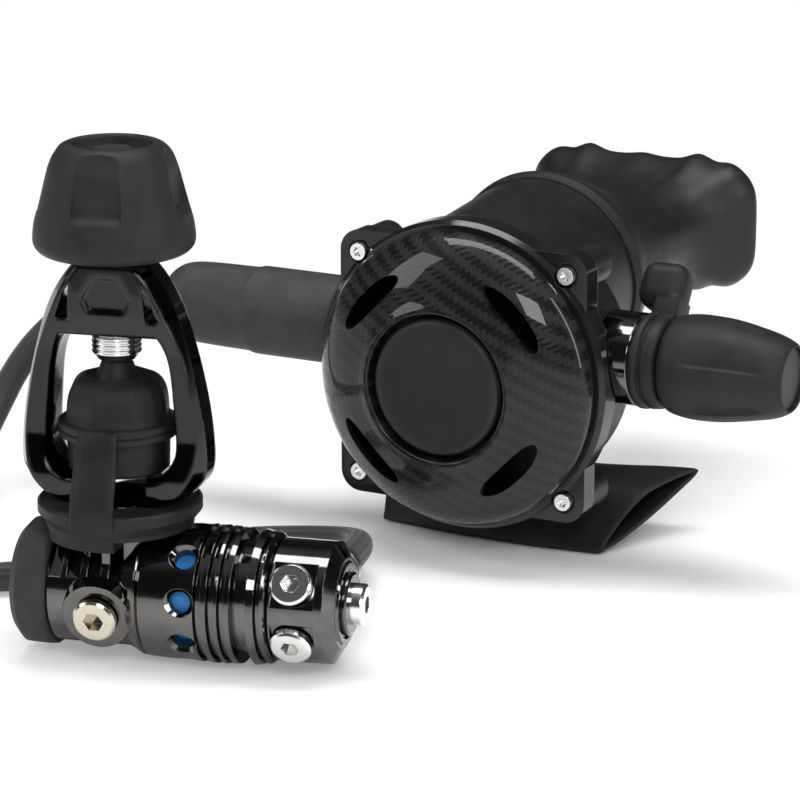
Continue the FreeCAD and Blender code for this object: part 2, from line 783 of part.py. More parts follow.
def make_yoke():
    flat, depth = YOKE_DEPTH / 2 - 3.5, YOKE_DEPTH / 2 + 3.6
    frame = bevelled(YOKE_SIDE, -4.0, flat, depth).common(yoke_depth_limit())
    frame = frame.cut(bevelled(WINDOW_SIDE, 2.2, flat, depth + 0.5))
    # Narrow openings between the arms and the plate above the window
    for sign in (-1, 1):
        points = [(12.0, 106.4), (16.2, 106.4), (13.2, 114.6), (11.4, 117.0)]
        ring = [V(sign * x, -depth, z) for x, z in points]
        gap = Part.Face(Part.makePolygon(ring + [ring[0]])).extrude(V(0, 2 * depth, 0))
        frame = frame.cut(gap)
    # Bare hexagonal recess in the front and the back plate
    for sign in (-1, 1):
        points = [(-4.0, 119.0), (4.0, 119.0), (7.6, 112.6), (5.8, 108.8), (-5.8, 108.8), (-7.6, 112.6)]
        ring = [V(x, sign * (YOKE_DEPTH / 2 + 0.4), z) for x, z in points]
        recess = Part.Face(Part.makePolygon(ring + [ring[0]])).extrude(V(0, sign * 6.0, 0))
        frame = frame.cut(recess)
    frame = frame.cut(rod(SCREW_R + RUN_GAP, (0, 0, WINDOW_TOP - 5), (0, 0, YOKE_TOP + 1)))
    frame = frame.cut(rod(RETAINER_R + RUN_GAP, (0, 0, YOKE_BOTTOM - 1), (0, 0, 60)))
    return frame.removeSplitter()


def make_retainer():
    """Bolt that clamps the yoke to the body; its top is the seat of the tank valve."""
    head_low = YOKE_BOTTOM + YOKE_BASE_T
    head_high = head_low + RETAINER_HEX_T
    shank = rod(RETAINER_R, (0, 0, YOKE_BOTTOM - 11.5), (0, 0, head_low))
    head = hex_prism(RETAINER_HEX_AF, (0, 0, head_low), (0, 0, head_high - 1.0), 30.0)
    seat = cone(10.2, 9.8, (0, 0, head_high - 1.0), (0, 0, head_high))
    bolt = join(shank, head, seat)
    bolt = bolt.cut(rod(SEAT_BORE_R, (0, 0, YOKE_BOTTOM - 8.0), (0, 0, 80)))
    bolt = bolt.cut(rod(3.4, (0, 0, YOKE_BOTTOM - 20), (0, 0, 60)))
    groove = tube(8.9, 6.9, (0, 0, head_high - 1.5), (0, 0, head_high + 1))
    return bolt.cut(groove)


def make_inlet_ring():
    head_high = YOKE_BOTTOM + YOKE_BASE_T + RETAINER_HEX_T
    return torus(7.9, 0.95, (0, 0, head_high - 0.55), Z_AXIS)


def make_inlet_filter():
    """Sintered cone in the inlet bore."""
    low = YOKE_BOTTOM - 8.0
    filter_cone = cone(SEAT_BORE_R - 1.2, SEAT_BORE_R - 0.05, (0, 0, low + 0.05), (0, 0, low + 13))
    return filter_cone.cut(cone(1.6, 3.8, (0, 0, low + 3), (0, 0, low + 14)))


def make_filter_clip():
    low = YOKE_BOTTOM - 8.0 + 13.0
    clip = tube(SEAT_BORE_R, SEAT_BORE_R - 1.4, (0, 0, low), (0, 0, low + 1.1))
    return clip.cut(box(-1.5, 1.5, 0, 10, low - 1, low + 3))


def make_collar():
    """Rubber collar between the yoke and the body, with the tab that holds the strap."""
    ring = turned(
        [
            (COLLAR_BOTTOM, INLET_BOSS_R + 0.1),
            (COLLAR_BOTTOM, COLLAR_R - 2.6),
            (COLLAR_BOTTOM + 2.6, COLLAR_R - 0.5),
            (COLLAR_BOTTOM + 3.2, COLLAR_R),
            (COLLAR_TOP - 0.8, COLLAR_R),
            (COLLAR_TOP, COLLAR_R - 0.8),
            (COLLAR_TOP, INLET_BOSS_R + 0.1),
        ],
        V(0, 0, 0),
        Z_AXIS,
    )
    saddle = rod(COLLAR_R - 2.6, (0, 0, BODY_AXIS_H + HP_BODY_R - 0.6), (0, 0, COLLAR_BOTTOM))
    saddle = saddle.cut(
        rod(HP_BODY_R + RUN_GAP, (-40, 0, BODY_AXIS_H), (BODY_SEAM - 5.5, 0, BODY_AXIS_H))
    )
    saddle = saddle.cut(rod(INLET_BOSS_R + 0.1, (0, 0, 0), (0, 0, COLLAR_TOP)))
    saddle = saddle.cut(box(5.0, 40, -40, 40, 0, COLLAR_BOTTOM - 1.4))
    saddle = saddle.cut(box(-40, BUMPER_LEFT + BUMPER_LENGTH + 0.1, -40, 40, 0, COLLAR_BOTTOM - 1.4))
    return join(ring, saddle)


def make_thrust_washer():
    return tube(
        WASHER_R, SCREW_R + RUN_GAP,
        (0, 0, KNOB_BOTTOM - WASHER_T), (0, 0, KNOB_BOTTOM - SEAT_GAP),
    )


def make_yoke_screw():
    """Clamping spindle: threaded through the yoke's head, with a turned tip."""
    top = KNOB_TOP - 6.0
    profile = [(SCREW_END, 0.0), (SCREW_END, SCREW_R - 1.6), (SCREW_END + 1.6, SCREW_R - 0.4)]
    z = SCREW_END + 1.6
    while z + SCREW_PITCH / 2 < WINDOW_TOP - 1.0:
        profile.append((z + 0.5, SCREW_R))
        profile.append((z + 0.9, SCREW_R))
        profile.append((z + SCREW_PITCH / 2, SCREW_R - 0.8))
        z += SCREW_PITCH / 2
    profile += [(WINDOW_TOP - 0.5, SCREW_R), (KNOB_BOTTOM + 10, SCREW_R)]
    profile += [(KNOB_BOTTOM + 10, 5.0), (top, 5.0), (top, 0.0)]
    return turned(profile, V(0, 0, 0), Z_AXIS)


def make_knob_core():
    """Moulded core that carries the rubber grip and is fixed on the spindle."""
    core = turned(
        [
            (KNOB_BOTTOM, SCREW_R),
            (KNOB_BOTTOM, 17.0),
            (KNOB_BOTTOM + 3, 18.2),
            (KNOB_TOP - 9, 13.4),
            (KNOB_TOP - 9, 11.6),
            (KNOB_TOP - 6, 11.6),
            (KNOB_TOP - 6, 5.0),
            (KNOB_BOTTOM + 10, 5.0),
            (KNOB_BOTTOM + 10, SCREW_R),
        ],
        V(0, 0, 0),
        Z_AXIS,
    )
    return core


def make_knob_insert():
    """Plain metal disc set in the top of the knob, with the nut that holds it."""
    low = KNOB_TOP - 6.0
    disc = rod(11.6, (0, 0, low), (0, 0, low + 1.4))
    nut = hex_prism(11.0, (0, 0, low + 1.4), (0, 0, low + 4.2))
    return join(disc, nut)


def make_knob_grip():
    """Rubber grip: a flaring skirt with four broad finger flutes."""
    grip = turned(
        [
            (KNOB_BOTTOM - 0.6, 18.3),
            (KNOB_BOTTOM - 0.6, KNOB_BASE_R - 3.4),
            (KNOB_BOTTOM + 2.6, KNOB_BASE_R - 0.2),
            (KNOB_BOTTOM + 4.2, KNOB_BASE_R),
            (KNOB_BOTTOM + 6.4, KNOB_BASE_R - 0.8),
            (KNOB_BOTTOM + 14.0, KNOB_BASE_R - 3.3),
            (KNOB_TOP - 4.0, KNOB_TOP_R + 1.2),
            (KNOB_TOP - 1.0, KNOB_TOP_R - 0.6),
            (KNOB_TOP, KNOB_TOP_R - 2.6),
            (KNOB_TOP, 12.4),
            (KNOB_TOP - 1.0, 11.7),
            (KNOB_TOP - 9.0, 11.7),
            (KNOB_TOP - 9.0, 13.45),
            (KNOB_BOTTOM + 3.0, 18.3),
        ],
        V(0, 0, 0),
        Z_AXIS,
    )
    for i in range(KNOB_FLUTES):
        angle = 90.0 * i + 4.0
        flute = cone(
            8.6, 5.4,
            (0, -(KNOB_BASE_R + 4.6), KNOB_BOTTOM + 7.0), (0, -(KNOB_TOP_R + 2.0), KNOB_TOP + 3.0),
        )
        flute.rotate(V(0, 0, 0), Z_AXIS, angle)
        grip = grip.cut(flute)
    return grip


def make_dust_cap():
    """Rubber dust cap with its flange and the cone that the screw presses on."""
    cap = turned(
        [
            (CAP_BOTTOM, 12.6),
            (CAP_BOTTOM, CAP_R - 1.0),
            (CAP_FLANGE_BOTTOM, CAP_R),
            (CAP_FLANGE_BOTTOM, CAP_FLANGE_R),
            (CAP_FLANGE_TOP - 0.6, CAP_FLANGE_R),
            (CAP_FLANGE_TOP, CAP_FLANGE_R - 0.6),
            (CAP_FLANGE_TOP, CAP_R),
            (CAP_TOP - 3.2, CAP_R - 1.4),
            (CAP_TOP, CAP_R - 6.0),
            (CAP_TOP + 1.0, 6.4),
            (CAP_CONE_TOP - 0.9, 4.6),
            (CAP_CONE_TOP, 3.8),
            (CAP_CONE_TOP, 0.0),
            (CAP_BOTTOM + 3.0, 0.0),
            (CAP_BOTTOM + 3.0, 12.6),
        ],
        V(0, 0, 0),
        Z_AXIS,
    )
    # Eight flats on the barrel of the cap
    for i in range(8):
        flat = box(-9, 9, -30, -(CAP_R - 0.9), CAP_FLANGE_TOP + 0.8, CAP_TOP + 2)
        flat.rotate(V(0, 0, 0), Z_AXIS, 45.0 * i + 10.0)
        cap = cap.cut(flat)
    return cap


def make_dust_cap_strap():
    """Rubber strap from the flange of the cap down to the collar."""
    front = CAP_FLANGE_R + LOOSE_GAP
    path = [
        (-(front), CAP_FLANGE_TOP - 0.5),
        (-(front + STRAP_T), CAP_FLANGE_TOP - 1.5),
        (-(front + STRAP_T + 1.2), CAP_FLANGE_BOTTOM - 3.5),
        (-(COLLAR_R + STRAP_T + 0.6), COLLAR_TOP + 4.2),
        (-(COLLAR_R + STRAP_T + 0.6), COLLAR_BOTTOM + 3.4),
        (-(COLLAR_R + LOOSE_GAP), COLLAR_BOTTOM + 3.4),
        (-(COLLAR_R + LOOSE_GAP), COLLAR_TOP + 2.2),
        (-(front + 1.4), CAP_FLANGE_BOTTOM - 5.1),
        (-(front), CAP_FLANGE_BOTTOM - 1.5),
    ]
    points = [V(-STRAP_W / 2, y, z) for y, z in path]
    strap = Part.Face(Part.makePolygon(points + [points[0]])).extrude(V(STRAP_W, 0, 0))
    return strap


# Hose

def port_frame(x, angle, radius):
    """A point on the body at a radius and angle."""
    a = math.radians(angle)
    return V(x, -radius * math.cos(a), BODY_AXIS_H + radius * math.sin(a))


def make_hose_fitting():
    """Male end of the hose in the turret's rear port: thread, hexagon and shoulder."""
    seat = LP_FLAT_R
    axis = lambda r: (LP_PORT_X, -r, BODY_AXIS_H)
    shank = rod(LP_THREAD_R, axis(seat - PLUG_THREAD_L), axis(seat))
    over_turret = TURRET_R + 0.2
    shoulder = rod(FITTING_HEX_AF / 2 - 0.8, axis(seat), axis(over_turret))
    hexagon = hex_prism(FITTING_HEX_AF, axis(over_turret), axis(seat + FITTING_HEX_T), 30.0)
    fitting = join(shank, shoulder, hexagon)
    return about_x(fitting.cut(rod(2.2, axis(0), axis(seat + FITTING_HEX_T + 1))), HOSE_PORT_ANGLE)


def make_hose_ferrule():
    """Crimped ferrule that holds the hose on its fitting."""
    near = LP_FLAT_R + FITTING_HEX_T
    axis = lambda r: (LP_PORT_X, -r, BODY_AXIS_H)
    ferrule = rod(FERRULE_R, axis(near), axis(near + FERRULE_L))
    for at in (4.0, 8.5, 13.0):
        crimp = tube(FERRULE_R + 1, FERRULE_R - 0.5, axis(near + at), axis(near + at + 1.6))
        ferrule = ferrule.cut(crimp)
    ferrule = ferrule.cut(rod(2.2, axis(near - 1), axis(near + 5.0)))
    ferrule = ferrule.cut(rod(HOSE_D / 2, axis(near + 5.0), axis(near + FERRULE_L + 1)))
    return about_x(ferrule, HOSE_PORT_ANGLE)


def hose_ends():
    """The first and last point of the hose, and a point inside each end on its axis."""
    inside = port_frame(LP_PORT_X, HOSE_PORT_ANGLE, LP_FLAT_R + FITTING_HEX_T + 5.0)
    place = stage_placement()
    far = place.multVec(V(HOSE_FAR_X, BARREL_Y, BARREL_H))
    leave = place.multVec(V(HOSE_LEAVE_X, BARREL_Y, BARREL_H))
    return inside, leave, far


def hose_path():
    """Straight runs joined by tangent arcs through the points of the hose."""
    inside, leave, far = hose_ends()
    leave_port = port_frame(LP_PORT_X, HOSE_PORT_ANGLE, HOSE_PORT_REACH)
    points = [inside, leave_port] + [V(*p) for p in HOSE_POINTS] + [leave, far]
    edges = []
    radii = []
    at = points[0]
    for i in range(1, len(points) - 1):
        before = points[i] - points[i - 1]
        after = points[i + 1] - points[i]
        turn = before.getAngle(after)
        shorter = min(before.Length, after.Length)
        radius = 0.45 * shorter / math.tan(turn / 2)
        back = radius * math.tan(turn / 2)
        start = points[i] - before.normalize() * back
        end = points[i] + after.normalize() * back
        inward = (start + end) * 0.5 - points[i]
        reach = radius / math.cos(turn / 2) - radius
        middle = points[i] + inward.normalize() * reach
        edges.append(Part.LineSegment(at, start).toShape())
        edges.append(Part.Arc(start, middle, end).toShape())
        radii.append(round(radius, 1))
        at = end
    edges.append(Part.LineSegment(at, points[-1]).toShape())
    return Part.Wire(edges), radii


def make_hose():
    wire, radii = hose_path()
    start = wire.Edges[0]
    first = start.Vertexes[0].Point
    direction = start.tangentAt(start.FirstParameter)
    section = Part.Wire(Part.makeCircle(HOSE_D / 2, first, direction))
    hose = wire.makePipeShell([section], True, False)
    plain = math.pi * (HOSE_D / 2) ** 2 * wire.Length
    print("hose: length", round(wire.Length, 1), "radii", radii)
    print("hose: volume", round(hose.Volume), "section times length", round(plain))
    return hose


# Second stage, in its own frame

def stage_placement():
    return FreeCAD.Placement(V(STAGE_X, STAGE_Y, 0), FreeCAD.Rotation(Z_AXIS, STAGE_YAW))


def along_barrel(x):
    return (x, BARREL_Y, BARREL_H)


def barrel_turned(profile):
    return turned(profile, V(0, BARREL_Y, BARREL_H), X_AXIS)


def cover_turned(profile):
    return turned(profile, V(0, 0, COVER_H), Y_AXIS)


def make_protector():
    """Rubber sleeve over the hose end at the second stage."""
    return barrel_turned(
        [
            (PROTECTOR_LEFT, HOSE_D / 2 + LOOSE_GAP),
            (PROTECTOR_LEFT, 9.0),
            (PROTECTOR_LEFT + 2.0, 12.0),
            (PROTECTOR_LEFT + 7.0, 13.8),
            (PROTECTOR_LEFT + 34.0, 14.4),
            (PROTECTOR_LEFT + 38.0, PROTECTOR_R),
            (PROTECTOR_RIGHT - 1.2, PROTECTOR_R),
            (PROTECTOR_RIGHT, PROTECTOR_R - 1.2),
            (PROTECTOR_RIGHT, PROTECTOR_R - 3.0),
            (PROTECTOR_STEP, PROTECTOR_R - 3.0),
            (PROTECTOR_STEP, FERRULE_R + LOOSE_GAP),
            (HOSE_FAR_X - FERRULE_GRIP - 2.0, FERRULE_R + LOOSE_GAP),
            (HOSE_FAR_X - FERRULE_GRIP - 2.0, HOSE_D / 2 + LOOSE_GAP),
        ]
    )


# Second stage pieces

def make_hose_nut():
    """Swivel nut that holds the hose's stem on the inlet of the valve barrel."""
    left = BARREL_LEFT - HOSE_NUT_L
    nut = hex_prism(HOSE_NUT_AF, along_barrel(left), along_barrel(BARREL_LEFT + INLET_L - 0.2))
    shoulder = BARREL_LEFT - STEM_FLANGE_T - 2 * SEAT_GAP
    nut = nut.cut(rod(INLET_R + RUN_GAP, along_barrel(shoulder), along_barrel(0)))
    return nut.cut(rod(FERRULE_STEM_R + RUN_GAP, along_barrel(left - 1), along_barrel(0)))


def make_hose_end():
    """Stem and crimped ferrule of the hose's second stage end."""
    left = BARREL_LEFT - HOSE_NUT_L - 0.1
    face = BARREL_LEFT - SEAT_GAP
    return barrel_turned(
        [
            (face, 2.4),
            (face, INLET_R - 0.6),
            (face - STEM_FLANGE_T, INLET_R - 0.6),
            (face - STEM_FLANGE_T, FERRULE_STEM_R),
            (left, FERRULE_STEM_R),
            (left, FERRULE_R),
            (HOSE_FAR_X - FERRULE_GRIP, FERRULE_R),
            (HOSE_FAR_X - FERRULE_GRIP, HOSE_D / 2),
            (HOSE_FAR_X, HOSE_D / 2),
            (HOSE_FAR_X, 2.4),
        ]
    )


def square_outline(half, corner):
    """A square with rounded corners in the plane of the cover."""
    h = half - corner
    k = corner * math.sqrt(0.5)
    edges = []
    for i in range(4):
        a = math.radians(90 * i)
        turn = lambda x, z: V(
            x * math.cos(a) - z * math.sin(a), 0, x * math.sin(a) + z * math.cos(a)
        )
        edges.append(Part.makeLine(turn(half, -h), turn(half, h)))
        edges.append(Part.Arc(turn(half, h), turn(h + k, h + k), turn(h, half)).toShape())
    face = Part.Face(Part.Wire(Part.__sortEdges__(edges)))
    face.translate(V(0, 0, COVER_H))
    return face


def ears_slab(y0, y1, half, corner):
    slab = square_outline(half, corner).extrude(V(0, y1 - y0, 0))
    slab.translate(V(0, y0, 0))
    return slab


def ear_points():
    return [(sx * EAR_AT, COVER_H + sz * EAR_AT) for sx in (-1, 1) for sz in (-1, 1)]


def at_ears(maker):
    return [maker(x, z) for x, z in ear_points()]


def vane_tube_room():
    """Space that the tube of the venturi ring needs where it passes behind the frame."""
    return rod(VANE_TUBE_R + LOOSE_GAP, along_barrel(VANE_TUBE_LEFT), along_barrel(RING_RIGHT))


def make_retaining_frame():
    """Ring with four ears that clamps the cover and the diaphragm on the case."""
    ring = cover_turned(
        [
            (-1.6, FRAME_R - 3.4),
            (-1.6, FRAME_R - 1.4),
            (0.2, FRAME_R),
            (FRAME_T, FRAME_R),
            (FRAME_T, COVER_RIM_R + RUN_GAP),
            (-1.6, COVER_RIM_R + RUN_GAP),
        ]
    )
    ears = ears_slab(0.0, FRAME_T, EAR_AT + EAR_R, EAR_R)
    ears = ears.cut(rod(FRAME_R - 2.0, (0, -5, COVER_H), (0, 20, COVER_H)))
    frame = join(ring, ears)
    for x, z in ear_points():
        frame = frame.cut(rod(SCREW_SHANK_R + RUN_GAP, (x, -2, z), (x, FRAME_T + 1, z)))
        frame = frame.cut(rod(SCREW_HEAD_R + 0.4, (x, -4, z), (x, 0.8, z)))
    return frame.cut(vane_tube_room())


def make_cover_screws():
    def screw(x, z):
        head = cone(SCREW_HEAD_R, SCREW_HEAD_R - 0.8, (x, 0.8, z), (x, 0.8 - SCREW_HEAD_T, z))
        shank = rod(SCREW_SHANK_R, (x, 0.8, z), (x, SCREW_L, z))
        star = []
        for i in range(12):
            r = 1.75 if i % 2 == 0 else 1.3
            a = math.radians(30 * i)
            star.append(V(x + r * math.cos(a), 0.8 - SCREW_HEAD_T - 1, z + r * math.sin(a)))
        socket = Part.Face(Part.makePolygon(star + [star[0]])).extrude(V(0, 2.4, 0))
        return join(head, shank).cut(socket)

    return Part.makeCompound(at_ears(screw))


def make_front_cover():
    """Domed cover with four slots and the hole of the purge button."""
    outer_edge = FRAME_R - 3.4
    shell = cover_turned(
        [
            (FRAME_T - 2.0, COVER_RIM_R),
            (-1.6, COVER_RIM_R),
            (-1.6, outer_edge),
            (-4.5, outer_edge + 0.6),
            (-8.0, outer_edge - 0.9),
            (-11.6, outer_edge - 4.2),
            (-15.0, outer_edge - 9.6),
            (-17.6, outer_edge - 16.2),
            (-18.6, PURGE_HOLE_R + 3.4),
            (COVER_FRONT, PURGE_HOLE_R + 1.6),
            (COVER_FRONT + 0.6, PURGE_HOLE_R + 0.4),
            (COVER_FRONT + 2.0, PURGE_HOLE_R),
            (PURGE_LEDGE_Y, PURGE_HOLE_R),
            (PURGE_LEDGE_Y, PURGE_HOLE_R + COVER_WALL),
            (-15.8, PURGE_HOLE_R + COVER_WALL + 1.2),
            (-13.0, outer_edge - 11.2),
            (-10.2, outer_edge - 6.6),
            (-7.0, outer_edge - 3.6),
            (-4.0, COVER_RIM_R - COVER_WALL),
            (FRAME_T - 2.0, COVER_RIM_R - COVER_WALL),
        ]
    )
    for i in range(4):
        slot = box(-SLOT_L / 2 + SLOT_W / 2, SLOT_L / 2 - SLOT_W / 2, -30, -5,
                   COVER_H + SLOT_R - SLOT_W / 2, COVER_H + SLOT_R + SLOT_W / 2)
        for end in (-1, 1):
            x = end * (SLOT_L - SLOT_W) / 2
            slot = slot.fuse(rod(SLOT_W / 2, (x, -30, COVER_H + SLOT_R), (x, -5, COVER_H + SLOT_R)))
        slot.rotate(V(0, 0, COVER_H), Y_AXIS, 45.0 + 90.0 * i)
        shell = shell.cut(slot)
    # Inner ring on four spokes, the seat of the purge spring
    hub = cover_turned([(-4, 8.0), (-4, 13.0), (-2, 13.0), (-2, 8.0)])
    for i in range(4):
        spoke = box(12.0, COVER_RIM_R - COVER_WALL + 0.8, -4, -2, COVER_H - 1.5, COVER_H + 1.5)
        spoke.rotate(V(0, 0, COVER_H), Y_AXIS, 90.0 * i)
        hub = hub.fuse(spoke)
    return join(shell, hub)


def make_purge_button():
    """Soft purge button, held behind the ledge of the cover."""
    rear = PURGE_LEDGE_Y + SEAT_GAP
    return cover_turned(
        [
            (COVER_FRONT + 0.7, 0.0),
            (COVER_FRONT + 0.8, BUTTON_R - 3.0),
            (COVER_FRONT + 1.4, BUTTON_R - 1.0),
            (COVER_FRONT + 2.8, BUTTON_R),
            (rear, BUTTON_R),
            (rear, PURGE_HOLE_R + 1.2),
            (rear + 1.2, PURGE_HOLE_R + 1.2),
            (rear + 1.2, BUTTON_R - 2.2),
            (COVER_FRONT + 4.8, BUTTON_R - 2.2),
            (COVER_FRONT + 4.8, 7.0),
            (PLATE_FRONT - LOOSE_GAP, 7.0),
            (PLATE_FRONT - LOOSE_GAP, 0.0),
        ]
    )


def make_purge_spring():
    start = COVER_FRONT + 4.8 + 0.5
    end = -4.0 - BUTTON_TRAVEL - 0.4 - 0.5
    return coil(9.6, 1.0, end - start, 4, (0, start, COVER_H), Y_AXIS)


def make_diaphragm():
    """Silicone diaphragm: the disc and the skirt that roll back when the diver breathes in."""
    y, t = DIAPHRAGM_Y, DIAPHRAGM_T
    edge = BEAD_IN_R - LOOSE_GAP
    return cover_turned(
        [
            (y, DIAPHRAGM_HOLE_R),
            (y, edge - 4.0),
            (y + 1.0, edge - 2.4),
            (BEAD_Y - BUTTON_TRAVEL + 1.5, edge),
            (BEAD_Y - BUTTON_TRAVEL + 1.5, edge - t),
            (y + 1.6, edge - 3.6),
            (y + t, edge - 4.6),
            (y + t, DIAPHRAGM_HOLE_R),
        ]
    )


def make_diaphragm_bead():
    """Bead of the diaphragm, clamped between the cover's rim and the case."""
    bead = cover_turned(
        [
            (BEAD_Y, BEAD_IN_R),
            (BEAD_Y, COVER_RIM_R - LOOSE_GAP),
            (FRAME_T, COVER_RIM_R - LOOSE_GAP),
            (FRAME_T, BEAD_IN_R),
        ]
    )
    return bead.cut(vane_tube_room())


def make_diaphragm_plate():
    """Wear plate in the middle of the diaphragm, which the lever rides on."""
    y, t = DIAPHRAGM_Y, DIAPHRAGM_T
    return cover_turned(
        [
            (PLATE_FRONT, 0.0),
            (PLATE_FRONT, PLATE_R),
            (y, PLATE_R),
            (y, DIAPHRAGM_HOLE_R),
            (y + t, DIAPHRAGM_HOLE_R),
            (y + t, 6.0),
            (y + t + PLATE_BACK_T, 6.0),
            (y + t + PLATE_BACK_T, 0.0),
        ]
    )


def neck_centre(y):
    """The axis of the mouthpiece tube rises a little towards the back."""
    return V(0, y, NECK_H + (y - NECK_END_Y) * math.tan(math.radians(NECK_RISE)))


def bowl_solid(grow, front):
    """The round bowl of the case from a station on, grown by a distance."""
    g = grow * 0.6
    return cover_turned(
        [
            (front, 0.0),
            (front, CASE_R + grow),
            (34.0 + g, CASE_R + grow),
            (40.0 + g, CASE_R - 3.0 + grow),
            (45.0 + g, CASE_R - 10.0 + grow),
            (48.0 + grow, CASE_R - 20.0 + grow),
            (49.0 + grow, 0.0),
        ]
    )


def make_case():
    """Case: a round bowl, the wide neck of the mouthpiece, side bosses, lugs and valve seat."""
    start = FRAME_T
    axis = neck_centre(NECK_END_Y) - neck_centre(NECK_START_Y)
    begin = neck_centre(NECK_START_Y)
    neck = Part.makeCylinder(NECK_R, axis.Length, begin, axis)
    flange = cover_turned(
        [
            (start, 0.0),
            (start, CASE_R + 2.4),
            (start + 3.0, CASE_R + 2.4),
            (start + 3.6, CASE_R),
            (start + 3.6, 0.0),
        ]
    )
    outer = bowl_solid(0.0, start).fuse(flange).fuse(neck)
    outer = outer.fuse(rod(SLEEVE_R - 0.6, along_barrel(30), along_barrel(SLEEVE_LEFT)))
    outer = outer.fuse(rod(PROTECTOR_R - 1.4, along_barrel(-30), along_barrel(-BARREL_BOSS_X)))
    outer = outer.fuse(
        rod(EXHAUST_R, (0, EXHAUST_Y, EXHAUST_SEAT_H), (0, EXHAUST_Y, EXHAUST_SEAT_H + 20))
    )
    for x, z in ear_points():
        outer = outer.fuse(rod(EAR_R - 0.8, (x, start, z), (x, start + 13.0, z)))
        web = box(0, EAR_AT * math.sqrt(2), start, start + 12.0, COVER_H - 4, COVER_H + 4)
        web.rotate(V(0, 0, COVER_H), Y_AXIS, -math.degrees(math.atan2(z - COVER_H, x)))
        outer = outer.fuse(web)
    wall = CASE_WALL
    hollow_bowl = cover_turned(
        [
            (start + 2.0, 0.0),
            (start + 2.0, CASE_R - wall),
            (34.0 - 1.0, CASE_R - wall),
            (39.0, CASE_R - 3.0 - wall),
            (43.4, CASE_R - 10.0 - wall),
            (45.6, CASE_R - 20.0 - wall),
            (46.4, 0.0),
        ]
    )
    mouth_of_bowl = rod(BEAD_IN_R, (0, start - 1, COVER_H), (0, start + 3, COVER_H))
    hollow_neck = Part.makeCylinder(
        NECK_R - wall, axis.Length - 12.0 + 5.0, begin + axis.normalize() * 12.0, axis
    )
    # Nothing reaches into the frame, the cover or the sleeve
    outer = outer.cut(rod(FRAME_R + LOOSE_GAP, (0, -40, COVER_H), (0, start, COVER_H)))
    outer = outer.cut(rod(SLEEVE_R + RUN_GAP, along_barrel(SLEEVE_LEFT), along_barrel(70)))
    case = outer.removeSplitter().cut(hollow_bowl).cut(mouth_of_bowl).cut(hollow_neck)
    case = case.cut(rod(BARREL_R + RUN_GAP, along_barrel(-60), along_barrel(0)))
    case = case.cut(
        rod(VANE_TUBE_R + RUN_GAP * 2, along_barrel(VANE_TUBE_LEFT - 0.3), along_barrel(60))
    )
    case = case.cut(
        rod(EXHAUST_R - 4.0, (0, EXHAUST_Y, 0), (0, EXHAUST_Y, EXHAUST_SEAT_H + 14))
    )
    spider = box(
        -(EXHAUST_R - 3.0), EXHAUST_R - 3.0, EXHAUST_Y - 2.6, EXHAUST_Y + 2.6,
        EXHAUST_SEAT_H + 1.0, EXHAUST_SEAT_H + 3.0,
    )
    case = case.fuse(spider)
    case = case.cut(
        rod(1.2 + LOOSE_GAP, (0, EXHAUST_Y, 0), (0, EXHAUST_Y, EXHAUST_SEAT_H + 5))
    )
    for x, z in ear_points():
        case = case.cut(rod(SCREW_SHANK_R, (x, 0, z), (x, SCREW_L + 0.5, z)))
    return case.removeSplitter()


def make_valve_barrel():
    """Metal barrel through the case: inlet on the left, adjustment on the right."""
    barrel = barrel_turned(
        [
            (BARREL_LEFT, 2.6),
            (BARREL_LEFT, INLET_R),
            (BARREL_LEFT + INLET_L, INLET_R),
            (BARREL_LEFT + INLET_L, BARREL_R + 0.8),
            (-BARREL_BOSS_X, BARREL_R + 0.8),
            (-BARREL_BOSS_X, BARREL_R),
            (RING_RIGHT - 6.0, BARREL_R),
            (RING_RIGHT - 6.0, BARREL_NOSE_R),
            (BARREL_RIGHT, BARREL_NOSE_R),
            (BARREL_RIGHT, SPINDLE_R + RUN_GAP),
            (BARREL_RIGHT - 8.0, SPINDLE_R + RUN_GAP),
            (BARREL_RIGHT - 8.0, BARREL_BORE_R - 0.9),
            (RING_RIGHT - 8.0, BARREL_BORE_R),
            (-BARREL_BOSS_X + 3.0, BARREL_BORE_R),
            (-BARREL_BOSS_X + 3.0, 2.6),
        ]
    )
    lever_slot = box(
        -6.0, 20.0, BARREL_Y - 12, BARREL_Y - 2.6, BARREL_H - LEVER_HALF - 1, BARREL_H + LEVER_HALF + 1
    )
    barrel = barrel.cut(lever_slot)
    for x in (-6.0, 6.0):
        barrel = barrel.cut(
            rod(4.0, (x, BARREL_Y + 2, BARREL_H), (x, BARREL_Y + 14, BARREL_H))
        )
    return barrel


def make_barrel_sleeve():
    """Polished heat exchanger sleeve between the case and the venturi ring."""
    inner = VANE_TUBE_R + RUN_GAP * 2
    sleeve = barrel_turned(
        [
            (SLEEVE_LEFT, inner),
            (SLEEVE_LEFT, SLEEVE_R - 0.5),
            (SLEEVE_LEFT + 0.6, SLEEVE_R),
            (SLEEVE_RIGHT - 0.6, SLEEVE_R),
            (SLEEVE_RIGHT, SLEEVE_R - 0.6),
            (SLEEVE_RIGHT, inner),
        ]
    )
    return sleeve.cut(
        rod(FRAME_R + LOOSE_GAP, (0, -40, COVER_H), (0, FRAME_T + LOOSE_GAP, COVER_H))
    )


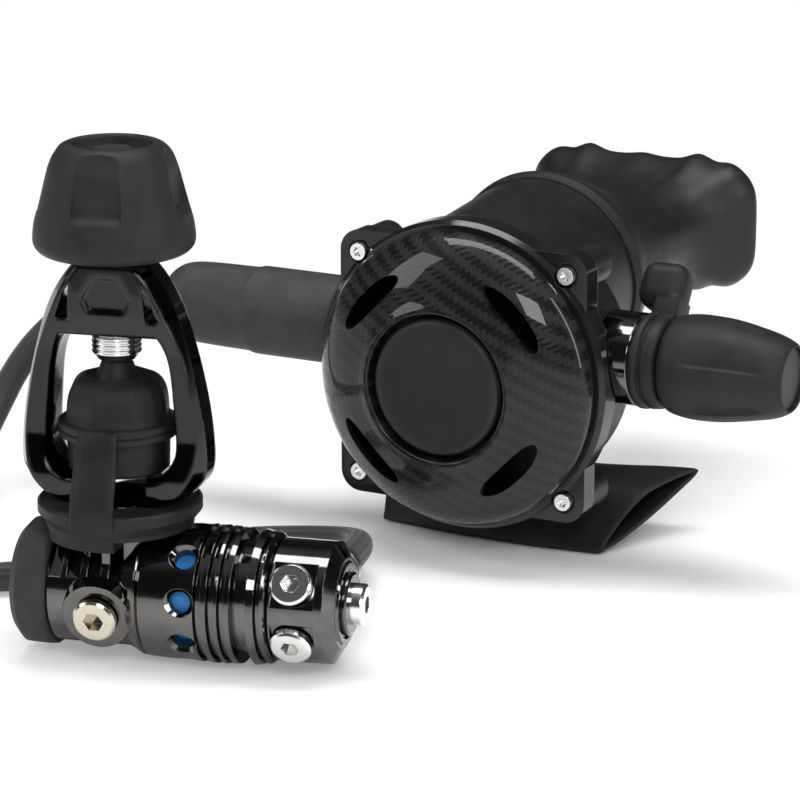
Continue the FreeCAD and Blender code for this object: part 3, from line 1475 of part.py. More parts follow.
def make_venturi_lever():
    """Venturi ring with its paddle, and the tube that turns the vane inside the case."""
    left = SLEEVE_RIGHT + SEAT_GAP
    ring = barrel_turned(
        [
            (VANE_TUBE_LEFT, BARREL_R + RUN_GAP),
            (VANE_TUBE_LEFT, VANE_TUBE_R),
            (left, VANE_TUBE_R),
            (left, RING_R - 1.0),
            (left + 1.0, RING_R),
            (left + 2.6, RING_R),
            (left + 3.2, RING_R - 1.2),
            (left + 4.0, RING_R - 1.2),
            (left + 4.6, RING_R - 0.3),
            (RING_RIGHT - 1.0, RING_R - 0.8),
            (RING_RIGHT, RING_R - 2.2),
            (RING_RIGHT, BARREL_R + RUN_GAP),
        ]
    )
    stem = box(left + 1.0, RING_RIGHT - 0.8, BARREL_Y - 7, BARREL_Y + 7,
               BARREL_H + RING_R - 4, BARREL_H + RING_R + 8)
    head = rod(PADDLE_R, (left + 0.6, BARREL_Y, BARREL_H + PADDLE_H),
               (RING_RIGHT - 0.4, BARREL_Y, BARREL_H + PADDLE_H))
    paddle = stem.fuse(head)
    paddle = paddle.cut(rod(RING_R - 3.5, along_barrel(left - 1), along_barrel(RING_RIGHT + 1)))
    paddle.rotate(V(0, BARREL_Y, BARREL_H), X_AXIS, -PADDLE_BACK)
    vane = box(VANE_TUBE_LEFT - 14.0, VANE_TUBE_LEFT + 1.0, BARREL_Y + BARREL_R + 1.0,
               BARREL_Y + BARREL_R + 2.6, BARREL_H - 7.0, BARREL_H + 7.0)
    arm = box(VANE_TUBE_LEFT, VANE_TUBE_LEFT + 2.0, BARREL_Y + BARREL_R + 0.3,
              BARREL_Y + BARREL_R + 2.6, BARREL_H - 4.0, BARREL_H + 4.0)
    return join(ring, paddle, vane, arm)


def make_inhalation_knob():
    """Inhalation effort knob, with shallow grooves and a plain recessed end."""
    left = INHALATION_KNOB_LEFT
    right = INHALATION_KNOB_RIGHT
    r = INHALATION_KNOB_R
    knob = barrel_turned(
        [
            (left, BARREL_NOSE_R + 0.6),
            (left, r - 2.6),
            (left + 1.6, r - 1.2),
            (left + 6.0, r - 0.2),
            (left + 12.0, r),
            (left + 22.0, r - 0.9),
            (left + 32.0, r - 3.0),
            (right - 3.0, r - 4.4),
            (right - 0.8, r - 5.4),
            (right, r - 6.6),
            (right, KNOB_DISC_R + 0.4),
            (right - KNOB_RECESS, KNOB_DISC_R),
            (right - KNOB_RECESS, SPINDLE_R + RUN_GAP),
            (BARREL_RIGHT + 1.0, SPINDLE_R + RUN_GAP),
            (BARREL_RIGHT + 1.0, BARREL_NOSE_R + 0.6),
        ]
    )
    for i in range(8):
        groove = cone(
            0.9, 1.5,
            (left + 9.0, BARREL_Y - r - 0.35, BARREL_H), (left + 31.0, BARREL_Y - r + 2.4, BARREL_H),
        )
        groove.rotate(V(0, BARREL_Y, BARREL_H), X_AXIS, 45.0 * i + 12.0)
        knob = knob.cut(groove)
    return knob


def make_knob_disc():
    """Bare disc set in the end of the knob."""
    right = INHALATION_KNOB_RIGHT - KNOB_RECESS
    return rod(KNOB_DISC_R - 0.1, along_barrel(right), along_barrel(right + 1.2))


def make_orifice():
    """Adjustable orifice with the raised edge that the poppet's seat closes."""
    return barrel_turned(
        [
            (-BARREL_BOSS_X + 3.1, 2.2),
            (-BARREL_BOSS_X + 3.1, BARREL_BORE_R),
            (-18.0, BARREL_BORE_R),
            (-16.0, 4.0),
            (POPPET_LEFT - SEAT_GAP, 3.2),
            (POPPET_LEFT - SEAT_GAP, 2.2),
        ]
    )


def make_poppet():
    """Poppet with its soft seat, stem and nut."""
    return barrel_turned(
        [
            (POPPET_LEFT, 0.0),
            (POPPET_LEFT, 5.6),
            (POPPET_LEFT + 3.0, 5.6),
            (POPPET_LEFT + 4.0, 4.4),
            (2.0, 4.4),
            (2.0, POPPET_STEM_R),
            (POPPET_NUT_X, POPPET_STEM_R),
            (POPPET_NUT_X, POPPET_NUT_R),
            (POPPET_NUT_X + 2.6, POPPET_NUT_R),
            (POPPET_NUT_X + 2.6, POPPET_STEM_R),
            (POPPET_NUT_X + 14.0, POPPET_STEM_R),
            (POPPET_NUT_X + 14.0, 0.0),
        ]
    )


def make_poppet_spring():
    start = POPPET_NUT_X + 2.6 + 0.65
    end = SPINDLE_HEAD_X - ADJUST_TRAVEL - POPPET_TRAVEL - 0.4 - 0.65
    return coil(4.8, 1.2, end - start, 4, (start, BARREL_Y, BARREL_H), X_AXIS)


def make_adjuster_spindle():
    """Threaded spindle that loads the poppet spring; the knob drives its shaft."""
    return barrel_turned(
        [
            (SPINDLE_HEAD_X, 0.0),
            (SPINDLE_HEAD_X, BARREL_BORE_R - 0.7),
            (SPINDLE_HEAD_X + 1.0, BARREL_BORE_R - RUN_GAP),
            (SPINDLE_HEAD_X + 9.0, BARREL_BORE_R - RUN_GAP),
            (SPINDLE_HEAD_X + 10.0, BARREL_BORE_R - 1.5),
            (SPINDLE_HEAD_X + 10.0, SPINDLE_R),
            (INHALATION_KNOB_RIGHT - KNOB_RECESS - ADJUST_TRAVEL - 0.4, SPINDLE_R),
            (INHALATION_KNOB_RIGHT - KNOB_RECESS - ADJUST_TRAVEL - 0.4, 0.0),
        ]
    )


def make_demand_lever():
    """Forked lever: its arm rests under the diaphragm's plate, its legs pull the poppet's nut."""
    low, high = BARREL_H - LEVER_HALF, BARREL_H + LEVER_HALF
    tip_y = DIAPHRAGM_Y + DIAPHRAGM_T + PLATE_BACK_T + LOOSE_GAP
    arm = [
        V(LEVER_TIP_X, tip_y, low),
        V(LEVER_TIP_X + 3.0, tip_y, low),
        V(LEVER_PIVOT_X + 1.4, LEVER_PIVOT_Y - 1.0, low),
        V(LEVER_PIVOT_X + 1.4, LEVER_PIVOT_Y + 1.0, low),
        V(LEVER_TIP_X, tip_y + 1.6, low),
    ]
    plate = Part.Face(Part.makePolygon(arm + [arm[0]])).extrude(V(0, 0, high - low))
    pin = rod(1.5, (LEVER_PIVOT_X, LEVER_PIVOT_Y, low - 0.8), (LEVER_PIVOT_X, LEVER_PIVOT_Y, high + 0.8))
    pieces = [pin]
    for z0, z1 in ((low, low + 1.4), (high - 1.4, high)):
        leg = box(
            LEVER_PIVOT_X - 1.2, LEVER_PIVOT_X + 1.4, LEVER_PIVOT_Y, LEVER_PIVOT_Y + 5.0, z0, z1
        )
        pieces.append(leg)
    return join(plate, *pieces)


def make_exhaust_valve():
    """Mushroom valve of thin silicone under its seat."""
    disc = rod(EXHAUST_R - 1.6, (0, EXHAUST_Y, EXHAUST_SEAT_H - 1.1),
               (0, EXHAUST_Y, EXHAUST_SEAT_H - SEAT_GAP))
    stem = rod(1.2, (0, EXHAUST_Y, EXHAUST_SEAT_H - 0.5), (0, EXHAUST_Y, EXHAUST_SEAT_H + 5.6))
    bead = rod(2.0, (0, EXHAUST_Y, EXHAUST_SEAT_H + 3.1 + EXHAUST_LIFT),
               (0, EXHAUST_Y, EXHAUST_SEAT_H + 5.6))
    return join(disc, stem, bead)


def tee_wire(points):
    corners = [V(*p) for p in points]
    return Part.makePolygon(corners + [corners[0]])


def tee_section(inset, x):
    """Side view of the tee's middle, drawn in by the thickness of its wall."""
    i = inset
    return [
        (x, TEE_FRONT_Y + i, i),
        (x, 50.0, i),
        (x, 60.0 - i * 0.6, 8.0 + i),
        (x, 60.0 - i * 0.6, 19.0 - i),
        (x, 40.0, 21.0 - i),
        (x, 23.0 + i, 11.0 - i * 0.4),
    ]


def tee_mouth(inset, sign, out):
    """The lens shaped outlet at one side of the tee, in an upright plane that slants back."""
    i = inset
    points = [
        (22.0 + i, 0.0 + i),
        (41.0, 6.6 + i),
        (64.0 - i * 1.5, 17.6 + i * 0.6),
        (64.0 - i * 1.5, 20.6 - i * 0.6),
        (43.0, 18.6 - i),
        (29.0 + i, 8.8 - i * 0.3),
    ]
    return [(sign * (TEE_FRONT_HALF + TEE_SLANT * (y - TEE_FRONT_Y - 3.0) + out), y, z)
            for y, z in points]


def make_exhaust_tee():
    """Rubber exhaust tee under the case; the set stands on its flat sole."""
    mid = TEE_MIDDLE_HALF

    def solid(inset, out):
        middle = Part.Face(tee_wire(tee_section(inset, -mid))).extrude(V(2 * mid, 0, 0))
        wings = []
        for sign in (-1, 1):
            wings.append(
                Part.makeLoft(
                    [tee_wire(tee_section(inset, sign * mid)), tee_wire(tee_mouth(inset, sign, out))],
                    True, True,
                )
            )
        return middle.fuse(wings[0]).fuse(wings[1])

    socket = EXHAUST_SEAT_H + 6.0
    outer = solid(0.0, 0.0).fuse(
        rod(EXHAUST_R + TEE_WALL, (0, EXHAUST_Y, 8.0), (0, EXHAUST_Y, socket))
    )
    hollow = solid(TEE_WALL, 6.0).cut(bowl_solid(0.3 + TEE_WALL, FRAME_T))
    tee = outer.removeSplitter().cut(hollow)
    tee = tee.cut(rod(EXHAUST_R - 1.0, (0, EXHAUST_Y, 6.0), (0, EXHAUST_Y, EXHAUST_SEAT_H + 1)))
    tee = tee.cut(
        rod(EXHAUST_R + RUN_GAP, (0, EXHAUST_Y, EXHAUST_SEAT_H), (0, EXHAUST_Y, socket + 8))
    )
    # The case's bowl and its flange pass over the tee
    tee = tee.cut(bowl_solid(0.3, FRAME_T + 3.4))
    return tee.cut(rod(FRAME_R + 0.4, (0, -10, COVER_H), (0, FRAME_T + 3.5, COVER_H)))


def oval(y, height, half_w, half_h, lean=0.0):
    """An oval across the mouthpiece tube; its plane leans forward at the top."""
    big, small = max(half_w, half_h), min(half_w, half_h)
    wire = Part.Wire(Part.Ellipse(V(0, 0, 0), big, small).toShape())
    wire.rotate(V(0, 0, 0), Z_AXIS, 0.0 if half_w >= half_h else 90.0)
    wire.rotate(V(0, 0, 0), X_AXIS, 90.0 + lean)
    wire.translate(V(0, y, height))
    return wire


def between(table, steps):
    """Stations added between those of the table, on smooth curves through them."""
    rows = []
    for i in range(len(table) - 1):
        before = table[max(i - 1, 0)]
        after = table[min(i + 2, len(table) - 1)]
        a, b = table[i], table[i + 1]
        for k in range(steps):
            t = k / steps
            row = []
            for p, q, r, s in zip(before, a, b, after):
                m0, m1 = (r - p) / 2, (s - q) / 2
                row.append(
                    (2 * t**3 - 3 * t**2 + 1) * q + (t**3 - 2 * t**2 + t) * m0
                    + (3 * t**2 - 2 * t**3) * r + (t**3 - t**2) * m1
                )
            rows.append(tuple(row))
    rows.append(table[-1])
    return rows


def make_mouthpiece():
    """Silicone mouthpiece: collar on the neck, tapering tube, lip flange and bite tabs."""
    tube_rows = between(MOUTH_OUTSIDE, 3)
    outer = Part.makeLoft([oval(*row) for row in tube_rows + MOUTH_FLANGE], True, True)
    w = MOUTH_WALL
    tip_h = MOUTH_FLANGE[-1][1]
    inside = [(y, h, a - w, b - w, lean) for y, h, a, b, lean in tube_rows]
    first = inside[0]
    inside = [(first[0] - 3.0, first[1] - 0.2) + first[2:]] + inside
    inside.append((MOUTH_FLANGE[0][0], tip_h, MOUTH_BORE_W, MOUTH_BORE_H, 0.0))
    inside.append((MOUTH_FLANGE[-1][0] + 3.0, tip_h, MOUTH_BORE_W + 1.5, MOUTH_BORE_H + 0.6, 0.0))
    body = outer.cut(Part.makeLoft([oval(*row) for row in inside], True, True))
    end = MOUTH_FLANGE[-1][0]
    tabs = [
        box(s * TAB_AT - TAB_W / 2, s * TAB_AT + TAB_W / 2, end - 3.0, end + TAB_L,
            tip_h - TAB_T / 2, tip_h + TAB_T / 2)
        for s in (-1, 1)
    ]
    return body.multiFuse(tabs)


def make_mouthpiece_strap():
    """Band on the neck, in front of the mouthpiece's collar, with its small buckle below."""
    end = neck_centre(NECK_END_Y)
    axis = (end - neck_centre(NECK_START_Y)).normalize()
    start = end - axis * STRAP_BAND_W
    band = Part.makeCylinder(NECK_R + STRAP_BAND_T, STRAP_BAND_W, start, axis)
    buckle = box(-6, 6, NECK_END_Y - STRAP_BAND_W + 3.2, NECK_END_Y + 2.0,
                 NECK_H - NECK_R - STRAP_BAND_T - 2.0, NECK_H - NECK_R)
    hole = Part.makeCylinder(NECK_R, STRAP_BAND_W + 8, start - axis * 4, axis)
    return band.fuse(buckle).cut(hole)


FIRST_STAGE = {
    "end_bumper": make_end_bumper,
    "pressure_end_plug": make_hp_end_plug,
    "piston_seat": make_hp_seat,
    "main_body": make_hp_body,
    "thermal_bush": make_thermal_bush,
    "main_spring": make_main_spring,
    "piston": make_piston,
    "piston_o_ring": make_piston_rings,
    "stem_o_ring": make_stem_ring,
    "finned_housing": make_finned_housing,
    "swivel_bolt": make_swivel_bolt,
    "swivel_o_rings": make_swivel_rings,
    "end_port_plug": make_end_plug,
    "pressure_port_plugs": make_hp_plugs,
    "pressure_port_o_rings": make_hp_port_rings,
    "yoke": make_yoke,
    "yoke_retainer": make_retainer,
    "inlet_filter": make_inlet_filter,
    "filter_clip": make_filter_clip,
    "inlet_o_ring": make_inlet_ring,
    "body_collar": make_collar,
    "thrust_washer": make_thrust_washer,
    "yoke_screw": make_yoke_screw,
    "knob_core": make_knob_core,
    "knob_insert": make_knob_insert,
    "knob_grip": make_knob_grip,
    "dust_cap": make_dust_cap,
    "dust_cap_strap": make_dust_cap_strap,
    "turret": make_turret,
    "lp_plugs": make_lp_plugs,
    "lp_port_o_rings": make_lp_port_rings,
    "hose_fitting": make_hose_fitting,
    "hose_ferrule": make_hose_ferrule,
    "hose_run": make_hose,
}

SECOND_STAGE = {
    "hose_protector": make_protector,
    "hose_nut": make_hose_nut,
    "hose_end": make_hose_end,
    "case": make_case,
    "retaining_frame": make_retaining_frame,
    "cover_screws": make_cover_screws,
    "front_cover": make_front_cover,
    "purge_button": make_purge_button,
    "purge_spring": make_purge_spring,
    "diaphragm": make_diaphragm,
    "diaphragm_bead": make_diaphragm_bead,
    "diaphragm_plate": make_diaphragm_plate,
    "valve_barrel": make_valve_barrel,
    "barrel_sleeve": make_barrel_sleeve,
    "venturi_lever": make_venturi_lever,
    "inhalation_knob": make_inhalation_knob,
    "knob_disc": make_knob_disc,
    "orifice": make_orifice,
    "poppet": make_poppet,
    "poppet_spring": make_poppet_spring,
    "adjuster_spindle": make_adjuster_spindle,
    "demand_lever": make_demand_lever,
    "exhaust_valve": make_exhaust_valve,
    "exhaust_tee": make_exhaust_tee,
    "mouthpiece": make_mouthpiece,
    "mouthpiece_strap": make_mouthpiece_strap,
}

# The free hose doesn't count for the origin
CORD_NODES = ("hose_run",)


def main():
    os.makedirs("parts", exist_ok=True)
    shapes = {name: make() for name, make in FIRST_STAGE.items()}
    place = stage_placement()
    for name, make in SECOND_STAGE.items():
        shape = make().copy()
        shape.Placement = place.multiply(shape.Placement)
        shapes[name] = shape
    bounds = FreeCAD.BoundBox()
    for name, shape in shapes.items():
        if name not in CORD_NODES:
            bounds.add(shape.optimalBoundingBox(False, False))
    origin = V(bounds.Center.x, bounds.Center.y, bounds.ZMin)
    print("origin", round(origin.x, 3), round(origin.y, 3), round(origin.z, 3))
    print("size", round(bounds.XLength, 2), round(bounds.YLength, 2), round(bounds.ZLength, 2))
    for name, shape in shapes.items():
        shape.translate(origin * -1)
        volume = shape.Volume
        if not shape.isValid() or volume <= 0:
            print("check", name, shape.ShapeType, shape.isValid(), round(volume, 1))
        shape.exportStep("parts/" + name + ".step")
    print(len(shapes), "pieces")


if __name__ == "__main__":
    main()
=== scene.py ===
"""Scuba regulator set: looks, hose, stage and camera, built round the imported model.

Run as a script it makes every piece in order. The two stages are modelled in millimetres in
frames of their own and are set down in the row frame, which is in metres.
"""

import math

import bmesh
import bpy
from bpy.props import FloatProperty, FloatVectorProperty, IntProperty, PointerProperty
from mathutils import Matrix, Vector


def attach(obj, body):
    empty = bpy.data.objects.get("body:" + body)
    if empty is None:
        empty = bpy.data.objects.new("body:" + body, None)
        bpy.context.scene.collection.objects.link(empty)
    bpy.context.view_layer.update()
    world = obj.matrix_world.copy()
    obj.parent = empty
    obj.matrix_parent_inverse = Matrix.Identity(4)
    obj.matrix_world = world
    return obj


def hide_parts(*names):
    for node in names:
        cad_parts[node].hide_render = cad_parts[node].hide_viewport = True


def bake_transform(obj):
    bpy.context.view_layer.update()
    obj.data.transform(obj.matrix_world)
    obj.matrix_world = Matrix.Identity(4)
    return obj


bl_info = {
    "name": "Scuba regulator set",
    "version": (1, 0, 0),
    "blender": (4, 5, 0),
    "location": "View3D > Sidebar > Regulator",
    "description": "Builds the looks of a scuba regulator set with its hose",
    "category": "Add Mesh",
}

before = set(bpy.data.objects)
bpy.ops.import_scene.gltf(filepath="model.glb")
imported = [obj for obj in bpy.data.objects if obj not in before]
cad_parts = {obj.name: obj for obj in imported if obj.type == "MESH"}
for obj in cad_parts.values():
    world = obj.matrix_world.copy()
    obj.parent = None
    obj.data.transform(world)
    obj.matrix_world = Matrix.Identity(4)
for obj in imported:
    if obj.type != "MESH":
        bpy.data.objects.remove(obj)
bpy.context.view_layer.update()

MM = 0.001

# Places in millimetres that several pieces share: heights, and the middles of barrel and cover
BODY_AXIS_H = 21.0
COVER_H = 62.0
BARREL_Y = 19.0
BARREL_H = 70.0
BARREL = (0.0, BARREL_Y, BARREL_H)
COVER = (0.0, 0.0, COVER_H)

# Where the first stage and the second stage stand in the row frame
FIRST_SPOT = (-0.077483, -0.12685, 0.0)
SECOND_SPOT = (0.001517, -0.01085, 0.0)
SECOND_TURN = -14.0
FIRST = Matrix.Translation(FIRST_SPOT) @ Matrix.Scale(MM, 4)
SECOND = (
    Matrix.Translation(SECOND_SPOT)
    @ Matrix.Rotation(math.radians(SECOND_TURN), 4, "Z")
    @ Matrix.Scale(MM, 4)
)

WHITE = (1.0, 1.0, 1.0)
QUARTER = math.pi / 2


# Node trees

class Value:
    """A socket that takes part in sums, so that a pattern is written as maths."""

    def __init__(self, tree, socket):
        self.tree = tree
        self.socket = socket

    def maths(self, operation, *others):
        """A Math node on this value and others."""
        node = self.tree.nodes.new("ShaderNodeMath")
        node.operation = operation
        for place, value in zip(node.inputs, (self, *others)):
            feed(self.tree, place, value)
        return Value(self.tree, node.outputs[0])

    def __add__(self, other):
        return self.maths("ADD", other)

    def __radd__(self, other):
        return self.maths("ADD", other)

    def __sub__(self, other):
        return self.maths("SUBTRACT", other)

    def __rsub__(self, other):
        return (self * -1.0).maths("ADD", other)

    def __mul__(self, other):
        return self.maths("MULTIPLY", other)

    def __rmul__(self, other):
        return self.maths("MULTIPLY", other)

    def __truediv__(self, other):
        return self.maths("DIVIDE", other)

    def __lt__(self, other):
        return self.maths("LESS_THAN", other)

    def __mod__(self, other):
        return self.maths("FLOORED_MODULO", other)

    def floor(self):
        return self.maths("FLOOR")

    def fraction(self):
        return self.maths("FRACT")

    def sine(self):
        return self.maths("SINE")

    def size(self):
        return self.maths("ABSOLUTE")


def feed(tree, place, value):
    """Gives a socket a link, a number or a colour."""
    if isinstance(value, Value):
        tree.links.new(value.socket, place)
    elif place.type == "RGBA" and len(value) == 3:
        place.default_value = (*value, 1.0)
    else:
        place.default_value = value


def set_stops(elements, stops):
    """Gives a new ramp its stops, each a position and a grey."""
    for position, grey in stops[1:-1]:
        elements.new(position)
    for stop, (position, grey) in zip(elements, stops):
        stop.position = position
        stop.color = (grey, grey, grey, 1.0)


class Graph:
    """A node tree, with the one method that adds its nodes."""

    def __init__(self, tree):
        self.tree = tree

    def node(self, kind, settings=None, values=None, out=0):
        """A node with its settings, then the values or links of its sockets."""
        node = self.tree.nodes.new(kind)
        for name, value in (settings or {}).items():
            if name == "stops":
                set_stops(node.color_ramp.elements, value)
            else:
                setattr(node, name, value)
        for place, value in (values or {}).items():
            feed(self.tree, node.inputs[place], value)
        return Value(self.tree, node.outputs[out])

    def parts(self, vector):
        """The x, y and z of a vector."""
        node = self.node("ShaderNodeSeparateXYZ", None, {0: vector}).socket.node
        return [Value(self.tree, out) for out in node.outputs]

    def ray(self, kind):
        """One for rays of a kind and zero for the others."""
        return self.node("ShaderNodeLightPath", out=f"Is {kind} Ray")


class Finish(Graph):
    """A material with one main shader, and the methods that add patterns to it."""

    def __init__(self, name, **sockets):
        self.material = bpy.data.materials.new(name)
        self.material.use_nodes = True
        super().__init__(self.material.node_tree)
        self.shader = self.tree.nodes["Principled BSDF"]
        self.set(**sockets)

    def set(self, **sockets):
        """Gives the main shader its values; an underline in a name stands for a space."""
        for name, value in sockets.items():
            feed(self.tree, self.shader.inputs[name.replace("_", " ")], value)

    def place(self, centre=(0.0, 0.0, 0.0), turn=0.0):
        """Object coordinates in millimetres from a centre, turned in degrees about the upright."""
        return self.node(
            "ShaderNodeMapping",
            {"vector_type": "TEXTURE"},
            {
                "Vector": self.node("ShaderNodeTexCoord", out="Object"),
                "Location": centre,
                "Rotation": (0.0, 0.0, math.radians(turn)),
                "Scale": (MM, MM, MM),
            },
        )

    def noise(self, where, scale, detail=3.0, rough=0.55):
        """Cloudy noise; its scale is the number of its lumps in a millimetre."""
        return self.node(
            "ShaderNodeTexNoise",
            {"noise_dimensions": "3D"},
            {"Vector": where, "Scale": scale, "Detail": detail, "Roughness": rough},
        )

    def spread(self, value, low, high, to_low=0.0, to_high=1.0):
        """A value's span from low to high stretched to another, and held at its ends."""
        ends = {"From Min": low, "From Max": high, "To Min": to_low, "To Max": to_high}
        return self.node("ShaderNodeMapRange", {"clamp": True}, {"Value": value, **ends})

    def blend(self, share, colour_a, colour_b):
        """A colour between two."""
        return self.node(
            "ShaderNodeMix",
            {"data_type": "RGBA"},
            {0: share, 6: colour_a, 7: colour_b},
            out=2,
        )

    def relief(self, height, depth, edge=None):
        """Bump of a real depth in millimetres, over softened edges if a width is given."""
        values = {"Strength": 1.0, "Distance": depth * MM, "Height": height}
        if edge:
            values["Normal"] = self.soft_edge(edge)
        return self.node("ShaderNodeBump", None, values)

    def soft_edge(self, width):
        """A normal rounded over edges by a width in millimetres."""
        samples = 4 if width < 1.0 else 8
        return self.node("ShaderNodeBevel", {"samples": samples}, {"Radius": width * MM})


# Finishes

def tinted(colour, factor, lift=0.0):
    """A darker or paler tone of a colour."""
    return tuple(min(1.0, c * factor + lift) for c in colour)


def black_chrome(colour):
    """Polished black chrome plating: dark metal with faint waviness and handling marks."""
    f = Finish("black_chrome_plate", Metallic=1.0)
    where = f.place()
    cloud = f.noise(where, 0.09, 3.0)
    fine = f.noise(where, 1.6, 4.0, 0.6)
    f.set(
        Base_Color=f.blend(f.spread(cloud, 0.35, 0.65), tinted(colour, 0.78), colour),
        Roughness=f.spread(fine, 0.3, 0.75, 0.045, 0.11),
        Normal=f.relief(f.noise(where, 0.35, 2.0), 0.012, 0.35),
    )
    return f.material


def yoke_plating(dark, plate):
    """Black chrome of the yoke: nearly black arms, and a plate in front with satin roughness and a
    paler colour that is a painted reflection.
    """
    f = Finish("yoke_black_chrome", Metallic=1.0)
    where = f.place(FIRST_SPOT)
    x, y, z = f.parts(where)
    fine = f.noise(where, 3.2, 4.0, 0.65)
    # The plate's half width, foot and back, each with a soft border; inside it the metal colour is
    # paler, a painted reflection
    front = f.spread(x.size(), 12.0, 15.0, 1.0, 0.0) * f.spread(z, 102.0, 104.5)
    front = front * f.spread(y, -13.0, -11.0, 1.0, 0.0)
    # Painted reflection: the plate's paler metal colour, with a random mottle of wear
    painted_reflection_and_wear = f.blend(f.spread(fine, 0.3, 0.7), tinted(plate, 0.7), plate)
    f.set(
        Base_Color=f.blend(front, dark, painted_reflection_and_wear),
        Roughness=f.spread(fine, 0.3, 0.75, 0.045, 0.11) + front * 0.14,
        Normal=f.relief(f.noise(where, 0.35, 2.0), 0.012, 2.4),
    )
    return f.material


def bright_chrome(name, colour):
    """Bright plated plugs and screws, with fine turning marks and patches of duller roughness."""
    f = Finish(name, Metallic=1.0)
    where = f.place()
    fine = f.noise(where, 2.4, 4.0, 0.6)
    f.set(
        Base_Color=f.blend(f.spread(fine, 0.3, 0.7), tinted(colour, 0.86), colour),
        Roughness=f.spread(fine, 0.3, 0.7, 0.12, 0.24),
        Normal=f.relief(f.noise(where, 5.0, 2.0), 0.01, 0.25),
    )
    return f.material


def turned_metal(name, colour):
    """Turned or ground metal: springs, screws and the stems inside."""
    f = Finish(name, Metallic=1.0)
    where = f.place()
    fine = f.noise(where, 3.0, 4.0, 0.65)
    f.set(
        Base_Color=f.blend(f.spread(fine, 0.25, 0.75), tinted(colour, 0.8), colour),
        Roughness=f.spread(fine, 0.3, 0.7, 0.22, 0.36),
        Normal=f.relief(fine, 0.012, 0.2),
    )
    return f.material


def rubber(name, colour, edge=0.5, rough=(0.42, 0.6), grain=0.03):
    """Moulded rubber: matt, very finely grained, paler where it is rubbed."""
    f = Finish(name, Specular_IOR_Level=0.26)
    where = f.place()
    broad = f.noise(where, 0.12, 3.0)
    fine = f.noise(where, 4.2, 3.0, 0.6)
    f.set(
        Base_Color=f.blend(f.spread(broad, 0.38, 0.7), colour, tinted(colour, 1.35, 0.002)),
        Roughness=f.spread(broad * 0.6 + fine * 0.4, 0.3, 0.7, *rough),
        Normal=f.relief(fine, grain, edge),
    )
    return f.material


def moulded_plastic(name, colour, edge=0.2, rough=(0.3, 0.45), grain=0.02):
    """Moulded plastic with a fine spark-eroded surface."""
    f = Finish(name, Specular_IOR_Level=0.4)
    where = f.place()
    fine = f.noise(where, 3.0, 4.0, 0.6)
    broad = f.noise(where, 0.1, 2.0)
    f.set(
        Base_Color=f.blend(f.spread(broad, 0.35, 0.7), colour, tinted(colour, 1.25, 0.002)),
        Roughness=f.spread(fine, 0.3, 0.7, *rough),
        Normal=f.relief(fine, grain, edge),
    )
    return f.material


def rounded_tow(across):
    """Height of a tow's rounded back, from its place across the tow."""
    off = across.fraction() * 2.0 - 1.0
    return 1.0 - off * off


def carbon_weave(colour, tow):
    """Twill carbon cloth under a thick clear lacquer, with its tows turned a little and a painted
    sheen on the warp tows.
    """
    f = Finish("carbon_weave", Coat_Roughness=0.03, Coat_IOR=1.32, Specular_IOR_Level=0.14)
    where = f.place((*SECOND_SPOT[:2], COVER_H * MM), SECOND_TURN)
    x, z = f.parts(where)[::2]
    # The cloth's turn in radians, and how closely the fibres of a tow lie
    turn = 0.32
    strand = 56.0
    across = (x * math.cos(turn) + z * math.sin(turn)) / tow
    up = (z * math.cos(turn) - x * math.sin(turn)) / tow
    warp = ((across.floor() + up.floor()) % 4.0) < 1.5
    weft = 1.0 - warp
    height = rounded_tow(across) * warp + rounded_tow(up) * weft
    strands = (across * strand).sine() * warp + (up * strand).sine() * weft
    # Painted sheen: the warp tows and the fibre lines are painted paler than the weft, standing in
    # for the cloth's shifting reflection; the noise adds random tone
    shade = warp * 0.75 + strands * 0.05 + f.noise(where, 0.16, 2.0) * 0.35 - 0.1
    f.set(
        Base_Color=f.blend(f.spread(shade, 0.0, 1.0), colour, tinted(colour, 3.6)),
        Roughness=f.spread(warp + strands * 0.08, 0.0, 1.0, 0.32, 0.5),
        Coat_Weight=f.spread(f.noise(where, 0.2, 2.0), 0.3, 0.7, 0.92, 1.0),
        Normal=f.relief(height, 0.08),
    )
    return f.material


def braided_cover(colour, tow):
    """Braided sleeve of a hose, in the tube's own UV: along it and round it."""
    f = Finish("braided_hose", Specular_IOR_Level=0.4, Sheen_Weight=0.15)
    along, about = f.parts(f.node("ShaderNodeUVMap", {"uv_map": "UVMap"}))[:2]
    # How many strands go round the tube each way, and how closely the threads of one lie
    strands_round = 12.0
    thread = 30.0
    left = along / tow + about * strands_round
    right = along / tow - about * strands_round
    over = ((left.floor() + right.floor()) % 4.0) < 2.0
    under = 1.0 - over
    height = rounded_tow(left) * over + rounded_tow(right) * under
    threads = (left * thread).sine() * under + (right * thread).sine() * over
    lit = f.spread(height + threads * 0.15, 0.1, 1.1)
    f.set(
        Base_Color=f.blend(lit, colour, tinted(colour, 2.2)),
        Roughness=f.spread(height, 0.0, 1.0, 0.7, 0.5),
        Normal=f.relief(height + threads * 0.08, 0.25),
    )
    return f.material


def silicone(name, colour):
    """Soft silicone, slightly milky."""
    f = Finish(name, Specular_IOR_Level=0.34)
    where = f.place()
    broad = f.noise(where, 0.15, 2.0)
    f.set(
        Base_Color=f.blend(f.spread(broad, 0.3, 0.7), tinted(colour, 0.85), colour),
        Roughness=f.spread(broad, 0.3, 0.7, 0.38, 0.5),
        Normal=f.relief(f.noise(where, 3.0, 2.0), 0.015, 0.3),
    )
    return f.material


FINISHES = {}


